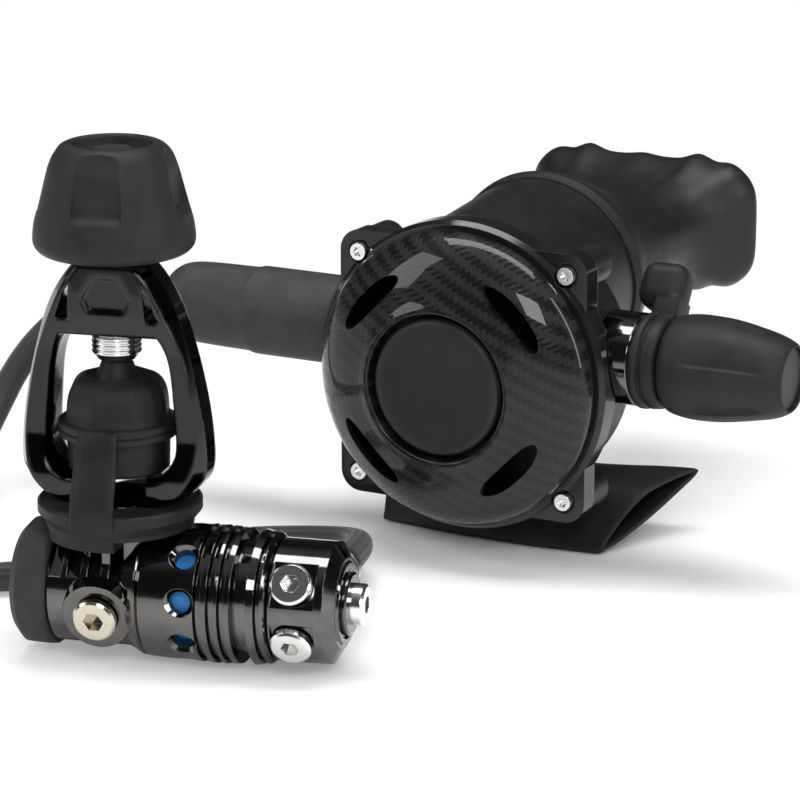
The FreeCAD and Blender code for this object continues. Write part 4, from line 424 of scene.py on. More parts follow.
def make_finishes(look):
    """Makes every material, from the two colours and the tow width that a user can change."""
    chrome = tuple(look.plate_colour)
    black = tuple(look.rubber_colour)
    gloss = (0.008, 0.008, 0.008)
    button = (0.0115, 0.0115, 0.0115)
    FINISHES.update(
        plate=black_chrome(chrome),
        yoke=yoke_plating(tinted(chrome, 0.3), tinted(chrome, 0.7)),
        bright=bright_chrome("bright_chrome", (0.88, 0.88, 0.87)),
        nickel=bright_chrome("warm_nickel", (0.66, 0.61, 0.5)),
        steel=turned_metal("turned_steel", (0.55, 0.55, 0.54)),
        brass=turned_metal("turned_brass", (0.62, 0.48, 0.27)),
        rubber=rubber("black_rubber", black),
        bumper=rubber("bumper_rubber", tinted(black, 2.6), 1.0, (0.5, 0.66)),
        grip=rubber("knob_rubber", tinted(black, 1.25), 0.7, (0.46, 0.62), 0.035),
        seal=rubber("seal_rubber", tinted(black, 0.6), 0.2, (0.4, 0.55), 0.01),
        sleeve=rubber("hose_sleeve_rubber", tinted(black, 3.4), 0.7, (0.5, 0.66)),
        case=moulded_plastic("case_plastic", tinted(black, 0.8), 0.5, (0.34, 0.5)),
        gloss=moulded_plastic("gloss_black_plastic", gloss, 0.4, (0.08, 0.16), 0.004),
        button=moulded_plastic("purge_button_plastic", button, 0.5, (0.42, 0.56)),
        blue=moulded_plastic("blue_liner", (0.028, 0.21, 0.55)),
        seat=moulded_plastic("seat_plastic", (0.55, 0.53, 0.48)),
        silicone=silicone("clear_silicone", (0.34, 0.35, 0.36)),
        flap=silicone("black_silicone", (0.006, 0.006, 0.0065)),
        mouth=silicone("mouthpiece_silicone", tinted(black, 1.1)),
        carbon=carbon_weave((0.0045, 0.0045, 0.005), look.tow_width),
        braid=braided_cover((0.01, 0.01, 0.011), 2.6),
    )


# The CAD nodes that take each finish
FINISH_NODES = {
    "bumper": ("end_bumper",),
    "plate": (
        "pressure_end_plug", "main_body", "finned_housing", "swivel_bolt", "knob_core",
        "turret", "barrel_sleeve",
    ),
    "seat": ("piston_seat",),
    "blue": ("thermal_bush",),
    "steel": (
        "main_spring", "piston", "filter_clip", "hose_ferrule", "purge_spring",
        "diaphragm_plate", "orifice", "poppet_spring", "demand_lever",
    ),
    "seal": (
        "piston_o_ring", "stem_o_ring", "swivel_o_rings", "pressure_port_o_rings",
        "inlet_o_ring", "lp_port_o_rings",
    ),
    "bright": (
        "end_port_plug", "yoke_retainer", "yoke_screw", "knob_insert", "lp_plugs",
        "hose_fitting", "hose_nut", "hose_end", "cover_screws", "valve_barrel",
    ),
    "nickel": ("pressure_port_plugs",),
    "yoke": ("yoke",),
    "brass": ("inlet_filter", "poppet", "adjuster_spindle"),
    "rubber": (
        "body_collar", "dust_cap", "dust_cap_strap", "venturi_lever", "exhaust_tee",
        "mouthpiece_strap",
    ),
    "gloss": ("thrust_washer", "retaining_frame"),
    "grip": ("knob_grip", "inhalation_knob"),
    "sleeve": ("hose_protector",),
    "case": ("case",),
    "carbon": ("front_cover",),
    "button": ("purge_button", "knob_disc"),
    "flap": ("diaphragm", "diaphragm_bead"),
    "silicone": ("exhaust_valve",),
    "mouth": ("mouthpiece",),
}


# Mesh helpers

def shade(mesh, sharp):
    """Smooth shading, but for edges that turn by more than an angle in degrees."""
    mesh.shade_smooth()
    mesh.set_sharp_from_angle(angle=math.radians(sharp))


def settle(bm, name, place, finish, body, sharp, node=None):
    """Makes a finished piece of a bmesh that was modelled in one of the millimetre frames.

    It rides on a body, fills a slot and, if a node is given, is shown in that node's stead.
    """
    bmesh.ops.transform(bm, matrix=place, verts=bm.verts)
    mesh = bpy.data.meshes.new(name)
    bm.to_mesh(mesh)
    bm.free()
    shade(mesh, sharp)
    mesh.materials.append(FINISHES[finish])
    piece = bpy.data.objects.new(name, mesh)
    bpy.context.scene.collection.objects.link(piece)
    if node:
        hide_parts(node)
    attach(piece, body)
    return piece


def subdivide(piece):
    """Gives a finished piece one level of smooth subdivision."""
    smooth = piece.modifiers.new("smooth", "SUBSURF")
    smooth.levels = smooth.render_levels = 1


def spun(profile, centre, axis, steps):
    """A form turned about an axis: the profile is a list of distances along it and radii."""
    axis = Vector(axis)
    centre = Vector(centre)
    side = Vector((0, 0, 1)) if abs(axis.z) < 0.5 else Vector((1, 0, 0))
    bm = bmesh.new()
    verts = [bm.verts.new(centre + axis * a + side * r) for a, r in profile]
    edges = [bm.edges.new(pair) for pair in zip(verts, verts[1:])]
    bmesh.ops.spin(
        bm, geom=verts + edges, cent=centre, axis=axis, angle=2 * math.pi, steps=steps,
        use_merge=True,
    )
    bmesh.ops.remove_doubles(bm, verts=bm.verts, dist=1e-4)
    bmesh.ops.recalc_face_normals(bm, faces=bm.faces)
    return bm


def loop_of(bm, count, point):
    """A closed loop of vertices, each put where point(angle) says."""
    made = bmesh.ops.create_circle(bm, segments=count, radius=1.0, cap_ends=False)["verts"]
    for vert in made:
        vert.co = Vector(point(math.atan2(vert.co.y, vert.co.x)))
    return made


def loop_edges(verts):
    """The edges between the vertices of a loop."""
    ring = set(verts)
    return list({e for v in verts for e in v.link_edges if e.other_vert(v) in ring})


def lofted(count, points, closed=False):
    """A skin over loops: each entry of points gives the place of a loop's vertex by its angle."""
    bm = bmesh.new()
    loops = [loop_of(bm, count, point) for point in points]
    edges = [loop_edges(loop) for loop in loops]
    pairs = list(zip(edges, edges[1:]))
    if closed:
        pairs.append((edges[-1], edges[0]))
    for one, other in pairs:
        bmesh.ops.bridge_loops(bm, edges=one + other)
    bmesh.ops.recalc_face_normals(bm, faces=bm.faces)
    return bm


def smoothly(low, high, value):
    """Zero below low, one above high, and an even curve between them."""
    t = min(1.0, max(0.0, (value - low) / (high - low)))
    return t * t * (3.0 - 2.0 * t)


def between(before, start, end, after, t):
    """The point at a share t from start to end, on the smooth curve through four points."""
    point = []
    for p, q, r, s in zip(before, start, end, after):
        leave, arrive = (r - p) / 2, (s - q) / 2
        point.append(
            (2 * t**3 - 3 * t**2 + 1) * q + (t**3 - 2 * t**2 + t) * leave
            + (3 * t**2 - 2 * t**3) * r + (t**3 - t**2) * arrive
        )
    return tuple(point)


def eased(table, steps):
    """Stations added between those of a profile, on smooth curves through them."""
    rows = []
    for i in range(len(table) - 1):
        before, after = table[max(i - 1, 0)], table[min(i + 2, len(table) - 1)]
        rows += [between(before, table[i], table[i + 1], after, k / steps) for k in range(steps)]
    rows.append(table[-1])
    return rows


def add_block(bm, low, high, width, place=None, segments=3):
    """A block between two corners, with edges rounded by a width, as part of a mesh."""
    made = bmesh.ops.create_cube(bm, size=1.0)["verts"]
    low, high = Vector(low), Vector(high)
    for vert in made:
        vert.co = [low[i] + (vert.co[i] + 0.5) * (high[i] - low[i]) for i in range(3)]
    edges = list({e for v in made for e in v.link_edges})
    out = bmesh.ops.bevel(
        bm, geom=edges, offset=width, offset_type="OFFSET", segments=segments, profile=0.5,
        affect="EDGES", material=-1,
    )
    verts = {v for f in out["faces"] for v in f.verts} | {v for v in made if v.is_valid}
    if place is not None:
        bmesh.ops.transform(bm, matrix=place, verts=list(verts))


def carve(piece, cutter):
    """Cuts a bmesh, given in the row frame, out of a finished piece, and softens its shading."""
    mesh = bpy.data.meshes.new("cutter")
    cutter.to_mesh(mesh)
    cutter.free()
    tool = bpy.data.objects.new("cutter", mesh)
    bpy.context.scene.collection.objects.link(tool)
    cut = piece.modifiers.new("cut", "BOOLEAN")
    cut.operation = "DIFFERENCE"
    cut.solver = "EXACT"
    cut.object = tool
    view = bpy.context.evaluated_depsgraph_get()
    made = bpy.data.meshes.new_from_object(piece.evaluated_get(view))
    piece.modifiers.remove(cut)
    old = piece.data
    piece.data = made
    bpy.data.objects.remove(tool)
    bpy.data.meshes.remove(mesh)
    bpy.data.meshes.remove(old)
    shade(made, 40)


# Operators, one for each group of pieces

class RegulatorLook(bpy.types.PropertyGroup):
    """Colours and the cloth's scale"""

    plate_colour: FloatVectorProperty(
        name="Plating", description="Colour of the black chrome plating", subtype="COLOR",
        size=3, min=0.0, max=1.0, default=(0.15, 0.147, 0.143),
    )
    rubber_colour: FloatVectorProperty(
        name="Rubber", description="Colour of the moulded rubber", subtype="COLOR",
        size=3, min=0.0, max=1.0, default=(0.0098, 0.0101, 0.0108),
    )
    tow_width: FloatProperty(
        name="Tow width", description="Width of one tow of the carbon cloth in millimetres",
        default=1.7, min=0.5, max=6.0,
    )


class RegulatorHose(bpy.types.PropertyGroup):
    """Sizes of the hose"""

    diameter: FloatProperty(
        name="Diameter", description="Outside diameter of the braided hose", unit="LENGTH",
        default=0.0095, min=0.005, max=0.02,
    )
    length: FloatProperty(
        name="Length", description="Real length of the free hose", unit="LENGTH",
        default=0.462, min=0.1, max=2.0,
    )
    sides: IntProperty(
        name="Sides", description="Sides of the tube's section", default=12, min=4, max=32,
    )


class RegulatorStage(bpy.types.PropertyGroup):
    """Floor and fill light"""

    floor_size: FloatProperty(
        name="Floor", description="Width of the floor", unit="LENGTH", default=8.0, min=1.0,
    )
    sky: FloatProperty(
        name="Fill light", description="Strength of the even light from all round", default=0.42,
        min=0.0, max=2.0,
    )


class REGULATOR_OT_finishes(bpy.types.Operator):
    """Makes the materials and gives each shown CAD node its own"""

    bl_idname = "regulator.finishes"
    bl_label = "Materials"

    def execute(self, context):
        make_finishes(context.scene.regulator_look)
        for finish, nodes in FINISH_NODES.items():
            for node in nodes:
                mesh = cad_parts[node].data
                mesh.materials.clear()
                mesh.materials.append(FINISHES[finish])
        return {"FINISHED"}


# The free hose in millimetres: the port's place along the body and its angle, and the route's
# points from the fitting to the protector, first in the first stage's frame, then in the second's
HOSE_PORT = (58.0, 184.0)
HOSE_ROUTE_FIRST = [
    (47.0, 94.0, 9.5),
    (22.0, 103.0, 5.2),
    (-4.0, 92.0, 5.2),
    (-24.0, 68.0, 5.2),
    (-44.0, 48.0, 5.2),
    (-70.0, 37.0, 5.2),
    (-98.0, 46.0, 5.2),
    (-110.0, 72.0, 5.2),
    (-106.0, 101.0, 6.0),
    (-100.0, 128.0, 13.0),
    (-98.0, 150.0, 27.0),
    (-92.0, 165.0, 45.0),
    (-77.0, 171.5, 61.0),
]
HOSE_ROUTE_SECOND = [(-140.0, 19.0, 70.0), (-96.0, 19.0, 70.0)]


def at_port(reach):
    """A point straight out of the turret's hose port, at a distance from the body axis."""
    x, angle = HOSE_PORT
    turn = math.radians(angle)
    return (x, -reach * math.cos(turn), BODY_AXIS_H + reach * math.sin(turn))


class REGULATOR_OT_hose(bpy.types.Operator):
    """Lays the braided hose from the turret to the second stage"""

    bl_idname = "regulator.hose"
    bl_label = "Hose"

    def execute(self, context):
        size = context.scene.regulator_hose
        # Straight out of the port, from the end of its fitting
        start = [at_port(29.2), at_port(70.0)]
        points = [FIRST @ Vector(p) for p in start + HOSE_ROUTE_FIRST]
        points += [SECOND @ Vector(p) for p in HOSE_ROUTE_SECOND]
        curve = bpy.data.curves.new("braided_hose", "CURVE")
        curve.dimensions = "3D"
        curve.resolution_u = 24
        curve.bevel_depth = size.diameter / 2
        curve.bevel_resolution = size.sides // 2
        curve.use_fill_caps = True
        curve.twist_mode = "MINIMUM"
        spline = curve.splines.new("NURBS")
        spline.points.add(len(points) - 1)
        for place, point in zip(spline.points, points):
            place.co = (*point, 1.0)
        spline.order_u = 3
        spline.use_endpoint_u = True
        curve.materials.append(FINISHES["braid"])
        hose = bpy.data.objects.new("braided_hose", curve)
        context.scene.collection.objects.link(hose)
        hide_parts("hose_run")
        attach(hose, "hose_side")
        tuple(points[0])
        return {"FINISHED"}


class REGULATOR_OT_knob(bpy.types.Operator):
    """Rubber grip of the yoke knob, with four flat flutes that end in a rounded bulge"""

    bl_idname = "regulator.knob"
    bl_label = "Yoke knob"

    # The flutes: their turn about the knob, where they begin, and the rim that they spare
    FLUTE_TURN = math.radians(4.0)
    FLUTE_FOOT = 130.6
    RIM_RADIUS = 12.6

    def execute(self, context):
        skirt = [
            (130.2, 17.6), (126.6, 18.4), (125.4, 19.0), (125.4, 20.6), (126.2, 22.4),
            (127.6, 23.7), (129.2, 24.2), (131.0, 24.2), (134.5, 23.75), (139.0, 22.6),
            (144.0, 21.3), (149.0, 20.0), (152.5, 18.9), (155.2, 17.7), (157.2, 16.0),
            (158.2, 14.2), (158.4, 12.9), (157.9, 12.0), (156.0, 11.8), (149.4, 11.8),
        ]
        bm = spun(eased(skirt, 6), (0, 0, 0), (0, 0, 1), 360)
        for vert in bm.verts:
            self.flute(vert)
        settle(bm, "knob_rubber_grip", FIRST, "grip", "yoke_screw", 60, "knob_grip")
        return {"FINISHED"}

    def flute(self, vert):
        """Presses the nearest of the four flutes into the skirt."""
        x, y, z = vert.co
        radius = math.hypot(x, y)
        if radius < self.RIM_RADIUS or z < self.FLUTE_FOOT:
            return
        angle = math.atan2(x, -y) - self.FLUTE_TURN
        turns = round(angle / QUARTER)
        off = angle - turns * QUARTER
        side, out = radius * math.sin(off), radius * math.cos(off)
        # The flute's floor leans in, dips at the top and swells out over the bulge at its foot
        floor = 19.0 - (z - 140.0) * 0.05 - 2.6 * smoothly(150.0, 158.4, z)
        floor += 3.3 * (1.0 - smoothly(137.6, 140.2, z)) + 1.6 * (1.0 - smoothly(132.0, 138.0, z))
        edge = 1.0 - smoothly(math.radians(19.0), math.radians(20.2), abs(off))
        rim = smoothly(self.RIM_RADIUS, self.RIM_RADIUS + 1.0, radius)
        out -= max(0.0, out - floor) * edge * rim
        angle = turns * QUARTER + self.FLUTE_TURN
        vert.co.x = out * math.sin(angle) + side * math.cos(angle)
        vert.co.y = -out * math.cos(angle) + side * math.sin(angle)


class REGULATOR_OT_effort_knob(bpy.types.Operator):
    """Inhalation effort knob: rubber, tapering, with fine creases between its facets"""

    bl_idname = "regulator.effort_knob"
    bl_label = "Inhalation knob"

    # The creases between its facets, and the radius of the end disc's rim
    FACETS = 6
    FACET_TURN = math.radians(14.0)
    CREASE_DEPTH = 1.25
    RIM_RADIUS = 10.4

    def execute(self, context):
        body = [
            (67.2, 8.9), (67.2, 13.6), (67.7, 14.8), (69.2, 15.9), (72.0, 16.6), (76.0, 17.1),
            (80.0, 17.2), (85.0, 17.0), (90.0, 16.4), (96.0, 15.3), (101.0, 14.2), (105.0, 13.0),
            (107.6, 11.8), (108.8, 10.9), (109.0, 10.5), (108.6, 10.25), (107.6, 10.2),
            (106.4, 10.2), (106.4, 3.6),
        ]
        bm = spun(eased(body, 3), BARREL, (1, 0, 0), 240)
        for vert in bm.verts:
            self.crease(vert)
        settle(bm, "inhalation_knob_rubber", SECOND, "grip", "inhalation_knob", 60,
               "inhalation_knob")
        return {"FINISHED"}

    def crease(self, vert):
        """Six facets, each with a step beside it, that fade out towards both ends."""
        x, y, z = vert.co.x, vert.co.y - BARREL_Y, vert.co.z - BARREL_H
        radius = math.hypot(y, z)
        if radius < self.RIM_RADIUS:
            return
        angle = math.atan2(z, -y) - self.FACET_TURN
        share = (angle / (2 * math.pi / self.FACETS)) % 1.0
        reach = smoothly(74.0, 82.0, x) * (1.0 - smoothly(98.0, 103.0, x))
        step = (1.0 - smoothly(0.0, 0.7, share)) * smoothly(0.0, 0.025, share)
        depth = self.CREASE_DEPTH * reach * step
        vert.co.y -= y / radius * depth
        vert.co.z -= z / radius * depth


class REGULATOR_OT_venturi_lever(bpy.types.Operator):
    """Venturi ring on the barrel with its rounded thumb paddle, its tube and its vane"""

    bl_idname = "regulator.venturi_lever"
    bl_label = "Venturi lever"

    def execute(self, context):
        ring = [
            (34.0, 10.05), (34.0, 11.2), (57.4, 11.2), (57.5, 14.6), (57.8, 15.3), (58.6, 15.8),
            (60.0, 15.8), (60.5, 15.4), (60.8, 14.6), (61.5, 14.6), (61.8, 15.2), (62.4, 15.5),
            (65.0, 15.2), (66.0, 14.7), (66.5, 13.6), (66.5, 10.05), (34.0, 10.05),
        ]
        bm = spun(ring, BARREL, (1, 0, 0), 128)
        # The vane in the case, then the paddle's stalk and the paddle
        add_block(bm, (20.0, 30.0, 63.0), (35.0, 31.6, 77.0), 0.4)
        lean = Matrix.Translation(BARREL) @ Matrix.Rotation(math.radians(-32.0), 4, "X")
        add_block(bm, (57.6, -6.0, 11.4), (66.3, 6.0, 22.0), 1.2, lean)
        add_block(bm, (50.6, -6.4, 17.2), (66.6, 6.4, 33.0), 5.0, lean, 8)
        settle(bm, "venturi_paddle_ring", SECOND, "rubber", "venturi_lever", 40,
               "venturi_lever")
        return {"FINISHED"}


class REGULATOR_OT_cover(bpy.types.Operator):
    """Domed carbon cover with its four slots, its inner ring and spokes"""

    bl_idname = "regulator.cover"
    bl_label = "Front cover"

    # A slot: how far it lies from the middle, half its length and width, and how far its ends bend
    SLOT_RADIUS = 36.5
    SLOT_HALF = 13.6
    SLOT_HALF_WIDTH = 3.3
    SLOT_BEND = 1.1

    def execute(self, context):
        outside = eased([
            (-1.6, 48.6), (-3.2, 49.1), (-5.0, 49.15), (-7.6, 48.1), (-9.8, 46.3), (-11.9, 43.9),
            (-13.8, 41.0), (-15.3, 37.9), (-16.6, 34.6), (-17.6, 31.2), (-18.4, 28.6),
            (-19.1, 27.0), (-19.5, 26.0), (-19.4, 25.1), (-18.8, 24.6), (-17.6, 24.4),
        ], 3)
        inside = eased([
            (-12.0, 26.6), (-15.2, 27.8), (-14.6, 32.0), (-12.9, 37.4), (-10.2, 42.0),
            (-7.0, 45.0), (-4.0, 44.6),
        ], 2)
        profile = [(6.0, 46.8), (-1.6, 46.8)] + outside + [(-12.0, 24.4)] + inside
        profile += [(6.0, 44.6), (6.0, 46.8)]
        bm = spun(profile, COVER, (0, 1, 0), 160)
        cover = settle(bm, "carbon_cover", SECOND, "carbon", "second_stage", 40,
                       "front_cover")
        carve(cover, self.slots())
        hub = spun([(-4.0, 8.0), (-4.0, 13.0), (-2.0, 13.0), (-2.0, 8.0), (-4.0, 8.0)],
                   COVER, (0, 1, 0), 64)
        for i in range(4):
            add_block(hub, (12.6, -4.0, -1.5), (45.2, -2.0, 1.5), 0.3, self.turned(90.0 * i), 2)
        settle(hub, "cover_spokes", SECOND, "case", "second_stage", 38)
        return {"FINISHED"}

    def turned(self, degrees):
        """A turn about the cover's middle."""
        return Matrix.Translation(COVER) @ Matrix.Rotation(math.radians(degrees), 4, "Y")

    def slots(self):
        """The four long slots as one cutter."""
        bm = bmesh.new()
        for i in range(4):
            made = bmesh.ops.create_circle(bm, segments=48, radius=1.0, cap_ends=True)["verts"]
            for vert in made:
                x, z = vert.co.x, vert.co.y
                along = math.copysign(abs(x) ** 0.75, x)
                out = self.SLOT_RADIUS + z * self.SLOT_HALF_WIDTH - along**2 * self.SLOT_BEND
                vert.co = (along * self.SLOT_HALF, -30.0, out)
            face = list({f for v in made for f in v.link_faces})
            grown = bmesh.ops.extrude_face_region(bm, geom=face)["geom"]
            moved = [g for g in grown if isinstance(g, bmesh.types.BMVert)]
            bmesh.ops.translate(bm, vec=(0, 25.0, 0), verts=moved)
            bmesh.ops.transform(bm, matrix=self.turned(45.0 + 90.0 * i), verts=made + moved)
        bmesh.ops.recalc_face_normals(bm, faces=bm.faces)
        bmesh.ops.transform(bm, matrix=SECOND, verts=bm.verts)
        return bm


class REGULATOR_OT_button(bpy.types.Operator):
    """Purge button: a slightly crowned soft disc inside the cover's ring"""

    bl_idname = "regulator.button"
    bl_label = "Purge button"

    def execute(self, context):
        profile = eased([
            (-18.2, 0.0), (-18.25, 6.0), (-18.4, 12.0), (-18.7, 17.0), (-18.85, 19.4),
            (-18.7, 21.0), (-18.1, 22.2), (-17.0, 22.8), (-15.8, 22.9),
        ], 3)
        profile += [
            (-11.95, 22.9), (-11.95, 25.6), (-10.75, 25.6), (-10.75, 20.7), (-14.7, 20.7),
            (-14.7, 7.0), (-0.1, 7.0), (-0.1, 0.0),
        ]
        bm = spun(profile, COVER, (0, 1, 0), 128)
        settle(bm, "purge_button_face", SECOND, "button", "purge_button", 40,
               "purge_button")
        return {"FINISHED"}


class REGULATOR_OT_mouthpiece(bpy.types.Operator):
    """Mouthpiece: a tube that flattens towards a waved lip flange with two bite tabs"""

    bl_idname = "regulator.mouthpiece"
    bl_label = "Mouthpiece"

    FLANGE_HALF = 44.0

    def execute(self, context):
        # Each row: depth, height of the middle, half width, half height, lean in degrees, and
        # how far the loop has the flange's outline
        outside = [
            (63.4, 83.0, 35.4, 35.4, 5.0, 0.0), (64.4, 83.0, 36.2, 36.2, 5.0, 0.0),
            (69.0, 83.3, 35.6, 35.2, 4.6, 0.0), (75.0, 83.8, 34.0, 32.0, 4.0, 0.0),
            (84.0, 84.8, 31.4, 26.8, 3.0, 0.0), (94.0, 85.8, 29.6, 22.0, 2.0, 0.0),
            (106.0, 86.6, 28.4, 18.4, 1.0, 0.0), (118.0, 87.2, 29.4, 16.6, 0.0, 0.1),
            (128.0, 87.4, 32.8, 17.0, 0.0, 0.4), (135.0, 87.4, 37.6, 19.2, 0.0, 0.8),
            (140.0, 87.4, 41.8, 21.4, 0.0, 1.0), (143.6, 87.4, 43.8, 22.6, 0.0, 1.0),
        ]
        back = [
            (146.2, 87.4, 44.0, 22.8, 0.0, 1.0), (147.4, 87.4, 42.6, 21.8, 0.0, 1.0),
            (146.8, 87.4, 37.0, 18.6, 0.0, 0.8), (145.0, 87.4, 27.0, 12.6, 0.0, 0.2),
            (144.4, 87.4, 22.0, 10.0, 0.0, 0.0), (138.0, 87.4, 20.0, 9.0, 0.0, 0.0),
            (126.0, 87.3, 22.0, 11.0, 0.0, 0.0), (106.0, 86.6, 25.4, 15.4, 1.0, 0.0),
            (84.0, 84.8, 28.6, 23.8, 3.0, 0.0), (69.0, 83.3, 32.6, 32.2, 4.6, 0.0),
            (63.4, 83.0, 33.0, 33.0, 5.0, 0.0),
        ]
        bm = lofted(96, [self.station(*row) for row in outside + back], closed=True)
        for side in (-1, 1):
            for low, high in (((-4.8, 143.0, 85.4), (4.8, 161.5, 89.4)),
                              ((-5.6, 157.0, 82.6), (5.6, 163.0, 92.2))):
                add_block(bm, low, high, 1.6, Matrix.Translation((side * 27.0, 0, 0)), 4)
        piece = settle(bm, "mouthpiece_skin", SECOND, "mouth", "second_stage", 60,
                       "mouthpiece")
        subdivide(piece)
        return {"FINISHED"}

    def station(self, y, height, half_w, half_h, lean, wave):
        """A loop across the tube; with the wave it takes the flange's lobed outline."""
        square = 2.0 + 2.6 * wave
        tilt = math.radians(lean)

        def point(angle):
            c, s = math.cos(angle), math.sin(angle)
            swell = (abs(c) ** square + abs(s) ** square) ** (-1.0 / square)
            x, z = half_w * swell * c, half_h * swell * s
            share = abs(x) / self.FLANGE_HALF
            # A lobe on each side, a waist inside it and a notch in the middle
            lobe = 1.7 * math.exp(-((share - 0.77) / 0.12) ** 2)
            lobe -= 3.0 * math.exp(-((share - 0.49) / 0.1) ** 2)
            lobe -= math.exp(-(share / 0.1) ** 2)
            z += math.copysign(wave * lobe, s) * min(1.0, abs(s) * 1.6)
            back = min(0.0, wave * (2.0 * share**2 - 1.0))
            return (x, y - z * math.sin(tilt) + back, height + z * math.cos(tilt))
        return point


class REGULATOR_OT_mouth_strap(bpy.types.Operator):
    """Tie strap round the mouthpiece's neck, with fine ribs and its small lock below"""

    bl_idname = "regulator.mouth_strap"
    bl_label = "Mouthpiece strap"

    def execute(self, context):
        rise = math.radians(5.0)
        axis = Vector((0.0, math.cos(rise), math.sin(rise)))
        width = 6.0
        start = Vector((0.0, 63.0, 83.0)) - axis * width
        band = [
            (0.0, 34.62), (0.0, 35.3), (0.3, 35.7), (1.3, 35.75), (1.6, 35.35), (1.9, 35.75),
            (2.9, 35.95), (3.2, 35.5), (3.5, 35.95), (4.5, 36.05), (5.3, 36.0), (5.8, 35.7),
            (width, 35.2), (width, 34.62), (0.0, 34.62),
        ]
        bm = spun(band, start, axis, 160)
        add_block(bm, (-6.0, 60.2, 46.4), (6.0, 65.0, 48.8), 0.5)
        settle(bm, "mouthpiece_tie", SECOND, "rubber", "second_stage", 50,
               "mouthpiece_strap")
        return {"FINISHED"}


class REGULATOR_OT_tee(bpy.types.Operator):
    """Exhaust tee: a soft shell on a flat sole, with a lens shaped outlet at each side"""

    bl_idname = "regulator.tee"
    bl_label = "Exhaust tee"

    # Radius about the cover's axis that the shell keeps clear of, for the retaining frame
    FRAME_RADIUS = 46.6

    # Outlines as back and height; both start at the front foot and go round the same way
    MIDDLE = [
        (19.6, 0.0), (34.0, 0.0), (50.0, 0.0), (59.0, 6.0), (60.5, 14.0), (57.0, 20.0),
        (44.0, 21.4), (33.0, 18.6), (25.0, 13.0), (20.2, 6.4),
    ]
    MOUTH = [
        (22.0, 0.4), (31.0, 2.6), (43.0, 7.4), (56.0, 14.0), (64.6, 19.0), (63.6, 21.4),
        (53.0, 20.4), (42.0, 17.8), (32.0, 11.4), (24.6, 4.0),
    ]

    def execute(self, context):
        half = [0.25, 0.4, 0.55, 0.7, 0.86, 0.97, 1.0]
        stations = [-t for t in reversed(half)] + [0.0] + half
        bm = lofted(60, [self.section(t) for t in stations])
        bmesh.ops.solidify(bm, geom=bm.faces[:], thickness=1.6)
        bmesh.ops.recalc_face_normals(bm, faces=bm.faces)
        piece = settle(bm, "exhaust_tee_shell", SECOND, "rubber", "second_stage", 60,
                       "exhaust_tee")
        subdivide(piece)
        return {"FINISHED"}

    def along(self, outline, share):
        """A point on the smooth closed curve through an outline."""
        at = share * len(outline)
        i = int(at)
        near = [outline[(i + k) % len(outline)] for k in (-1, 0, 1, 2)]
        return between(*near, at - i)

    def section(self, t):
        """A loop of the shell: t is -1 at the left outlet and 1 at the right one."""
        share = smoothly(0.3, 1.0, abs(t))

        def point(angle):
            turn = (angle / (2 * math.pi)) % 1.0
            y0, z0 = self.along(self.MIDDLE, turn)
            y1, z1 = self.along(self.MOUTH, turn)
            y, z = y0 + (y1 - y0) * share, max(0.0, z0 + (z1 - z0) * share)
            x = t * (41.0 + 0.39 * (y - 22.0))
            room = self.FRAME_RADIUS
            if y < 36.5 and math.hypot(x, z - COVER_H) < room:
                z = max(0.6, COVER_H - math.sqrt(max(0.0, room**2 - x * x)))
            return (x, y, z)
        return point


class REGULATOR_OT_dust_cap(bpy.types.Operator):
    """Rubber dust cap: eight flats, a dished top with its cone, and a double rim"""

    bl_idname = "regulator.dust_cap"
    bl_label = "Dust cap"

    # The flats: how many, their turn, how deep they cut, and the cone's foot that they spare
    FLATS = 8
    FLAT_TURN = math.radians(13.0)
    FLAT_SHARE = 0.938
    CONE_RADIUS = 8.4

    def execute(self, context):
        barrel = eased([
            (69.5, 15.6), (69.6, 17.4), (70.0, 18.0), (71.3, 18.0), (71.8, 17.5), (72.3, 18.0),
            (73.9, 18.0), (74.4, 17.5), (74.7, 16.4), (75.6, 16.0), (79.0, 15.85), (82.5, 15.3),
            (85.2, 14.1), (87.0, 12.3), (87.9, 10.4), (87.9, 9.2), (87.1, 8.2), (86.9, 7.2),
            (87.7, 6.3), (89.4, 5.6), (91.4, 4.9), (92.6, 4.2), (92.9, 3.4), (92.9, 1.5),
            (92.9, 0.0),
        ], 3)
        profile = [(62.0, 0.0), (62.0, 12.6), (59.0, 12.6), (59.0, 14.6), (59.8, 15.3)] + barrel
        bm = spun(profile, (0, 0, 0), (0, 0, 1), 240)
        for vert in bm.verts:
            self.flatten(vert)
        settle(bm, "dust_cap_rubber", FIRST, "rubber", "dust_cap", 32, "dust_cap")
        return {"FINISHED"}

    def flatten(self, vert):
        """Presses a vertex of the barrel in to the nearest flat."""
        x, y, z = vert.co
        radius = math.hypot(x, y)
        if not 75.0 < z < 88.0 or radius <= self.CONE_RADIUS:
            return
        step = 2 * math.pi / self.FLATS
        off = (math.atan2(y, x) - self.FLAT_TURN + step / 2) % step - step / 2
        flat = min(1.0, self.FLAT_SHARE / math.cos(off))
        share = smoothly(75.0, 76.4, z) * smoothly(self.CONE_RADIUS, 10.6, radius)
        factor = 1.0 + (flat - 1.0) * share
        vert.co.x, vert.co.y = x * factor, y * factor


